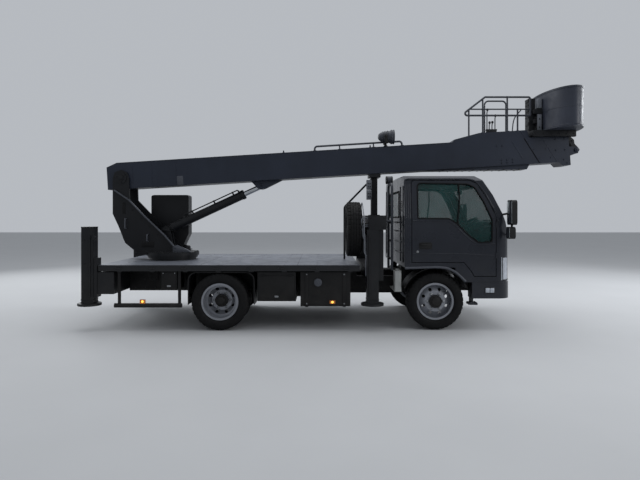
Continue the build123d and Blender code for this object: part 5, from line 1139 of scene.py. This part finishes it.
edge = Piece("cheek_edge", "flange", TURRET)
edge.plate([(x + 0.0015, z + 0.0015) for x, z in CHEEK_FRONT]
           + [(x - 0.01, z - 0.01) for x, z in reversed(CHEEK_FRONT)], -0.2175, -0.182, 0.001)
edge.plate([(-2.43, 1.03), (-2.37, 1.052), (-2.215, 0.985), (-2.172, 0.958), (-2.172, 0.948),
            (-2.43, 0.948)], -0.206, -0.16, 0.004)
handles = Piece("cheek_handles", "flange", TURRET)
for x, z, tall in ((-2.787, 1.155, 0.05), (-3.1, 1.36, 0.07)):
    handles.pipe([(x, -CHEEK_Y, z - tall), (x, -0.232, z - tall), (x, -0.232, z + tall),
                  (x, -CHEEK_Y, z + tall)], 0.03, 0.008)
pipes = Piece("turret_pipes", "machine", TURRET)
for place in range(4):
    y = 0.205 + 0.028 * place
    pipes.pipe([(-2.4, y, 1.012), (-2.4, y, 0.985), (-2.3 + 0.01 * place, y, 0.965)], 0.02, 0.006)

CASE_FACE = 0.374            # outer face of the valve case
doors = Piece("case_doors", "machine", TURRET)
doors.block((-2.845, CASE_FACE, 1.04), (-2.6, CASE_FACE + 0.0045, 1.75), 0.002)
doors.block((-2.59, CASE_FACE, 1.23), (-2.32, CASE_FACE + 0.0045, 1.75), 0.002)
doors.block((-2.83, 0.2, 1.7785), (-2.33, 0.36, 1.784), 0.003)
metal = Piece("case_hardware", "steel", TURRET)
for x, z in ((-2.835, 1.12), (-2.835, 1.66), (-2.33, 1.3), (-2.33, 1.66)):
    metal.rod((x, CASE_FACE + 0.007, z - 0.035), (x, CASE_FACE + 0.007, z + 0.035), 0.008)
for x in (-2.625, -2.565):
    metal.block((x - 0.012, CASE_FACE + 0.0045, 1.42), (x + 0.012, CASE_FACE + 0.014, 1.49))
vents = Piece("case_louvres", "black", TURRET)
for place, (rear, front) in product(range(8), ((-2.865, -2.858), (-2.302, -2.296))):
    z = 1.3 + 0.03 * place
    vents.block((rear, 0.215, z), (front, 0.345, z + 0.014), 0.003)
Piece("slew_motor_cap", "black", TURRET).lathe(
    [(0, 0.06), (0.006, 0.062), (0.014, 0.056), (0.014, 0.024), (0.024, 0.02)],
    (*MOTOR, 1.008), UP, 28)


# Lift cylinder, in its own frame with X along its axis

CYLINDER = (Matrix.Translation((CYLINDER_PIN[0], 0, CYLINDER_PIN[1]))
            @ Matrix.Rotation(-radians(24.83), 4, "Y"))
CYLINDER_AXIS, CYLINDER_UP = (CYLINDER.to_3x3() @ Vector(axis) for axis in (FORWARD, UP))


def cylinder_ring(x, radius, count=32, start=0.0):
    """Places on a circle about the cylinder's axis, at x along it."""
    return [CYLINDER @ Vector((x, y, z)) for y, z in around(count, radius, start)]


gland = Piece("gland_bolts", "machine", "cylinder_barrel")
gland.bolts(cylinder_ring(1.25, 0.056, 8, 22.5), CYLINDER_AXIS, 0.006)
for x in (0.45, 0.8, 1.1):
    gland.block((x - 0.01, -0.016, 0.058), (x + 0.01, 0.016, 0.107), 0.003, CYLINDER)
for x in (0.302, 1.188):
    gland.lathe([(0, 0.015), (0.016, 0.015), (0.02, 0.012)], CYLINDER @ Vector((x, 0, 0.06)),
                CYLINDER_UP, 6)
rings = Piece("barrel_rings", "machine", "cylinder_barrel")
wiper = Piece("rod_wiper", "seal", "cylinder_barrel")
for piece, x, radius in ((rings, 0.1, 0.0625), (rings, 1.196, 0.0625), (wiper, 1.2515, 0.0445)):
    piece.tube(cylinder_ring(x, radius), 0.0045, 8, closed=True)


# Boom: places along it, across it and above its pivot line

OUTER = "boom_outer"
BOOM_UP = BOOM.to_3x3() @ Vector(UP)
BOOM_BACK = BOOM.to_3x3() @ Vector((-1, 0, 0))
BOOM_SKIN = BOOM_HALF_W + 0.0005
SEAM_RAKE = 0.55             # how far the seam of the nose falls back for each metre up


def boom_line(y, *places):
    """Places (u, w) on a side face of the boom."""
    return [on_boom(u, y, w) for u, w in places]


def seam_line(y, middle, heights):
    """A seam that rakes back as it rises, through a middle place along the boom."""
    return boom_line(y, *((middle - (w - 0.035) * SEAM_RAKE, w) for w in heights))


screws = Piece("boom_bolts", "boom", OUTER)
beads = Piece("boom_welds", "boom", OUTER)
plates = Piece("boom_plates", "machine", OUTER)
seam = Piece("nose_seam", "seal", OUTER)
for side in BOTH:
    y = side * BOOM_SKIN
    outward = (0, side, 0)
    for radius, places in (
            (0.004, ((0.79, -0.15), (0.79, 0.22))),
            (0.0035, ((5.621, 0.184), (5.763, -0.067))),
            (0.004, ((4.3, 0.2205), (4.77, 0.2205), (4.8, 0.256))),
            (0.003, [(u, 0.2165) for u in (-0.03, 1.5, 3.0, 4.3)]),
            (0.003, [(u, -0.1485) for u in (-0.18, 1.5, 3.0, 4.5, 5.9)]),
            (0.003, ((0.16, -0.13), (0.16, 0.2))), (0.003, ((0.44, -0.13), (0.44, 0.2)))):
        beads.tube(boom_line(y, *places), radius, 8)
    screws.bolts(boom_line(y, *product((5.46, 5.54, 5.62), (-0.115, -0.075))), outward, 0.009)
    screws.bolts(boom_line(y, (5.4, 0.13), (5.48, 0.13)), outward, 0.009)
    screws.bolts(boom_line(y, *around(8, 0.11)), outward, 0.006)
    seam.tube(seam_line(side * BOOM_HALF_W, 5.899, (-0.146, 0.035, 0.216)), 0.0055, 8)
Piece("boom_side_plate", "flange", OUTER).block(
    (0.792, -BOOM_HALF_W - 0.004, -0.15), (0.88, -BOOM_HALF_W, -0.02), 0.002, BOOM)
for u in (2.34, 3.59):
    screws.lathe([(0, 0.018), (0.006, 0.018), (0.008, 0.01), (0.03, 0.01), (0.034, 0.006)],
                 on_boom(u, -0.12, BOOM_HIGH), BOOM_UP, 16)
for u in (1.2, 1.9, 2.6):
    plates.block((u - 0.16, -0.1, BOOM_HIGH - 0.001), (u + 0.16, 0.1, BOOM_HIGH + 0.005),
                 0.002, BOOM)
    for du, y in product((-0.14, 0.14), (-0.08, 0.08)):
        screws.bolt(on_boom(u + du, y, BOOM_HIGH + 0.005), BOOM_UP, 0.006)
for u in (2.79, 3.15, 3.64, 4.05):
    plates.block((u - 0.026, -0.136, BOOM_HIGH - 0.001), (u + 0.026, -0.084, BOOM_HIGH + 0.006),
                 0.002, BOOM)
plates.block((-0.206, -0.136, -0.141), (-0.2, 0.136, 0.145), 0.002, BOOM)
for y, w in product((-0.115, 0.115), (-0.12, 0.0, 0.12)):
    screws.bolt(on_boom(-0.206, y, w), BOOM_BACK, 0.007)
walk = Piece("boom_walkway", "grip", OUTER)
walk.block((2.8, -0.095, BOOM_HIGH - 0.001), (4.04, 0.1, BOOM_HIGH + 0.003), 0.001, BOOM)
walk.block((5.17, -0.115, BOOM_CAP_TOP - 0.001), (5.66, 0.115, BOOM_CAP_TOP + 0.003), 0.001, BOOM)
conduit = Piece("boom_conduits", "machine", OUTER)
for w in (0.02, 0.05, 0.08):
    conduit.pipe([on_boom(u, y, w) for u, y in
                  ((0.52, 0.146), (0.55, 0.16), (5.3, 0.16), (5.34, 0.146))], 0.01, 0.007)
clips = Piece("conduit_clips", "machine", OUTER)
for step in range(8):
    u = 0.75 + 0.62 * step
    clips.block((u - 0.014, 0.148, 0.0), (u + 0.014, 0.172, 0.1), 0.004, BOOM)


TRAY_START, TRAY_LENGTH, TRAY_FALL = 4.3, 1.48, 0.068


def tray_depth(u):
    """Height of the sloping tray under the boom."""
    return BOOM_LOW - TRAY_FALL * (u - TRAY_START) / TRAY_LENGTH


tray = Piece("tray_ribs", "machine", OUTER)
for place in range(6):
    u = 4.62 + 0.22 * place
    depth = tray_depth(u)
    tray.block((u - 0.012, -0.116, depth - 0.004), (u + 0.012, 0.116, depth + 0.012), 0.003, BOOM)
screws = Piece("tray_screws", "boom", OUTER)
for place, y in product(range(5), (-0.09, 0.09)):
    u = 4.73 + 0.22 * place
    screws.bolt(on_boom(u, y, tray_depth(u) - 0.001), -BOOM_UP, 0.006)
for side in BOTH:
    screws.lathe([(0, 0.036), (0.007, 0.036), (0.01, 0.028)], on_boom(1.987, side * 0.062, -0.226),
                 (0, side, 0), 24)
    screws.bolt(on_boom(1.987, side * 0.07, -0.226), (0, side, 0), 0.01)


# Searchlight

LAMP_Y = -0.136
back = on_boom(3.709, LAMP_Y, 0.367)
beam = BOOM.to_3x3() @ Vector((1, 0, -0.06)).normalized()
Piece("searchlight_lens", "lens_clear", OUTER).lathe(
    [(0.207, 0.086), (0.216, 0.084), (0.222, 0.06), (0.225, 0.02)], back, beam, 40)
rim = Piece("searchlight_rims", "guard", OUTER)
rim.lathe([(0.182, 0.094), (0.186, 0.1025), (0.194, 0.1045), (0.2, 0.1015)], back, beam, 40)
rim.lathe([(0.218, 0.1005), (0.222, 0.1045), (0.23, 0.1035), (0.231, 0.094), (0.222, 0.09)], back,
          beam, 40)
for place in range(4):
    along, radius = 0.06 + 0.024 * place, 0.072 + 0.0045 * place
    rim.lathe([(along, radius), (along + 0.003, radius + 0.007), (along + 0.007, radius + 0.007),
               (along + 0.01, radius)], back, beam, 40)
swivel = Piece("searchlight_swivel", "black", OUTER)
swivel.lathe([(0, 0.032), (0.006, 0.032), (0.01, 0.022), (0.026, 0.022), (0.03, 0.015),
              (0.05, 0.015)], on_boom(3.81, LAMP_Y, BOOM_HIGH), BOOM_UP, 24)
swivel.block((3.79, LAMP_Y - 0.107, 0.262), (3.83, LAMP_Y + 0.107, 0.272), 0.003, BOOM)
for side in BOTH:
    y = LAMP_Y + side * 0.104
    swivel.block((3.79, y - 0.003, 0.27), (3.83, y + 0.003, 0.385), 0.002, BOOM)
    swivel.lathe([(0, 0.016), (0.01, 0.016), (0.014, 0.01)],
                 on_boom(3.81, y + side * 0.003, 0.362), (0, side, 0), 12)


# Guard, stand and levers on the raised cap of the boom

def cap_top(x):
    """Height of the stowed boom's raised cap at x."""
    return PIVOT.z + ((x - PIVOT.x) * sin(BOOM_SLOPE) + BOOM_CAP_TOP) / cos(BOOM_SLOPE)


GUARD_Y = 0.132
STAND_Y = -0.129
feet = Piece("guard_feet", "guard", OUTER)
for x, side in ((2.011, -1), (2.364, -1), (2.512, -1), (2.13, 1), (2.44, 1)):
    turn = (Matrix.Translation((x, side * GUARD_Y, cap_top(x)))
            @ Matrix.Rotation(-BOOM_SLOPE, 4, "Y"))
    rear, front = (-0.019, 0.012) if x > 2.5 else (-0.026, 0.026)
    feet.block((rear, -0.018, -0.001), (front, 0.018, 0.006), 0.002, turn)
for x, z in ((2.364, 3.178), (2.364, 3.003), (2.011, 3.003), (2.364, 2.913), (2.011, 2.913)):
    feet.rod((x - 0.016, -GUARD_Y, z), (x + 0.016, -GUARD_Y, z), 0.0155)
stand = Piece("nose_control_stand", "machine", OUTER)
base = cap_top(2.15)
stand.block((2.06, -0.146, base - 0.01), (2.21, -0.112, base + 0.036), 0.006)
stand.block((2.055, -0.1485, base + 0.026), (2.215, -0.1105, base + 0.044), 0.005)
levers = Piece("nose_levers", "guard", OUTER)
knobs = Piece("nose_knobs", "black", OUTER)
for x, high in ((2.073, 2.985), (2.105, 2.8), (2.145, 2.805), (2.188, 2.9)):
    levers.pipe([(x, STAND_Y, base + 0.035), (x, STAND_Y, high - 0.03), (x + 0.006, STAND_Y, high)],
                0.02, 0.0075)
    knobs.lathe([(0, 0.009), (0.008, 0.016), (0.024, 0.017), (0.036, 0.01)],
                (x + 0.006, STAND_Y, high - 0.007), UP, 16)
levers.pipe([(2.44, -0.122, cap_top(2.44) - 0.002), (2.452, -0.122, 2.82), (2.48, -0.124, 2.9),
             (2.562, -0.126, 2.99)], 0.06, 0.008)


# Sections that slide, and the boom head

collar = Piece("collar_bolts", "boom", "boom_middle")
beads = Piece("collar_welds", "boom", "boom_middle")
head = Piece("head_bolts", "boom", "boom_inner")
for side in BOTH:
    y = side * BOOM_SKIN
    outward = (0, side, 0)
    collar.bolts(boom_line(y, (5.865, 0.17), (5.935, 0.05), (6.005, -0.08), (6.03, 0.17),
                           (6.1, 0.05), (6.165, -0.08)), outward, 0.007)
    beads.tube(seam_line(y, 6.151, (-0.145, 0.035, 0.215)), 0.003, 8)
    head.bolts(boom_line(side * 0.1445, (6.25, 0.18), (6.38, 0.18), (6.25, 0.02), (6.38, 0.02),
                         (6.36, -0.12), (6.4, -0.17)), outward, 0.009)
    head.lathe([(0, 0.034), (0.006, 0.034), (0.009, 0.026)], on_boom(6.57, side * 0.1, 0.013),
               outward, 24)
    head.bolt(on_boom(6.57, side * 0.107, 0.013), outward, 0.009)
trim = Piece("head_trim", "machine", "boom_inner")
trim.block((6.438, -0.12, -0.203), (6.462, 0.12, -0.06), 0.006, BOOM)
trim.block((6.18, -0.1, 0.26), (6.36, 0.1, 0.266), 0.003, BOOM)


# Bucket and its bracket

BUCKET = "platform"
RAIL_Z = 3.15
RAIL_HALF = (0.222, 0.58)
MAT_HALF = (0.226, 0.588)
CRADLE_Y = 0.225
CONTROLS_Z = 3.147           # top of the control box


def oval(half_l, half_w, z, steps=96):
    """An oval about the bucket's middle, at height z."""
    return [Vector((BUCKET_X + half_l * c, half_w * s, z)) for c, s in around(steps, 1)]


band = Piece("bucket_band", "bucket", BUCKET)
for half_l, half_w, z, radius in ((0.2585, 0.6225, 3.203, 0.004), (0.256, 0.62, 2.712, 0.005),
                                  (0.257, 0.621, 2.96, 0.0032)):
    band.tube(oval(half_l, half_w, z), radius, 8, closed=True)
rivets = Piece("bucket_rivets", "bucket", BUCKET)
for c, s in around(36, 1):
    rivets.lathe([(-0.002, 0.007), (0.0008, 0.007), (0.003, 0.004)],
                 (BUCKET_X + 0.2655 * c, 0.6295 * s, 3.22), (c / 0.264, s / 0.628, 0), 12)
rail = Piece("bucket_inner_rail", "guard", BUCKET)
rail.tube(oval(*RAIL_HALF, RAIL_Z), 0.012, closed=True)
for c, s in around(8, 1, 22.5):
    rail.rod((BUCKET_X + RAIL_HALF[0] * c, RAIL_HALF[1] * s, RAIL_Z),
             (BUCKET_X + 0.25 * c, 0.614 * s, RAIL_Z), 0.008)
mat = Piece("bucket_mat", "grip", BUCKET)
part = bmesh.new()
stitch(part, [[part.verts.new(p) for p in oval(MAT_HALF[0] - inset, MAT_HALF[1] - inset, z, 64)]
              for inset, z in ((0, 2.7135), (0, 2.72), (0.002, 2.722))])
mat.take(part)
for place in range(-8, 9):
    y = 0.066 * place
    reach = 0.215 * (1 - (y / MAT_HALF[1]) ** 2) ** 0.5
    mat.block((BUCKET_X - reach, y - 0.006, 2.72), (BUCKET_X + reach, y + 0.006, 2.7255), 0.002)
box = Piece("bucket_controls", "light", BUCKET)
box.block((2.796, -0.15, 3.018), (2.856, -0.092, 3.155), 0.006)
box.block((2.7885, -0.1535, 2.69), (2.8495, -0.1495, 2.925), 0.0015)
box.block((2.893, -0.16, 3.035), (2.99, 0.1, CONTROLS_Z), 0.012)
levers = Piece("bucket_levers", "black", BUCKET)
for y in (-0.11, -0.035, 0.04):
    levers.lathe([(0, 0.02), (0.01, 0.018), (0.016, 0.006), (0.05, 0.006), (0.054, 0.014),
                  (0.072, 0.015), (0.08, 0.008)], (2.945, y, CONTROLS_Z - 0.002), (0.05, 0, 1), 20)
for y in (-0.03, 0.05):
    levers.lathe([(0, 0.014), (0.014, 0.014), (0.02, 0.009)], (2.988, y, 3.09), FORWARD, 16)
bolts = Piece("bracket_bolts", "machine", BUCKET)
mast = Piece("mast_trim", "machine", BUCKET)
for side in BOTH:
    outward = (0, side, 0)
    bolts.bolts([(x, side * CRADLE_Y, 2.64) for x in (2.74, 2.85, 2.96, 3.07, 3.18, 3.28)], outward,
                0.008)
    for z in (2.74, 2.86, 2.98):
        strip = 0.0035 if side < 0 and z < 2.93 else 0
        bolts.bolt((2.819, side * (0.15 + strip), z), outward, 0.007)
    bolts.bolts([(2.77, side * 0.1495, z) for z in (2.815, 2.845, 2.955, 2.985)], outward, 0.005)
    bolts.bolt((3.33, side * 0.062, 2.56), outward, 0.01)
    mast.tube([(x, side * (CRADLE_Y + 0.0015), 2.603) for x in (2.86, 3.3)], 0.004, 8)
bolts.bolts(product([2.7], (-0.045, 0.045), (2.72, 2.9, 3.08)), (-1, 0, 0), 0.008)
mast.block((2.695, -0.074, 3.16), (2.795, 0.074, 3.172))
for z in (2.78, 2.98, 3.12):
    mast.block((2.694, -0.06, z), (2.702, 0.06, z + 0.05), 0.003)


for piece in Piece.made:
    piece.done()
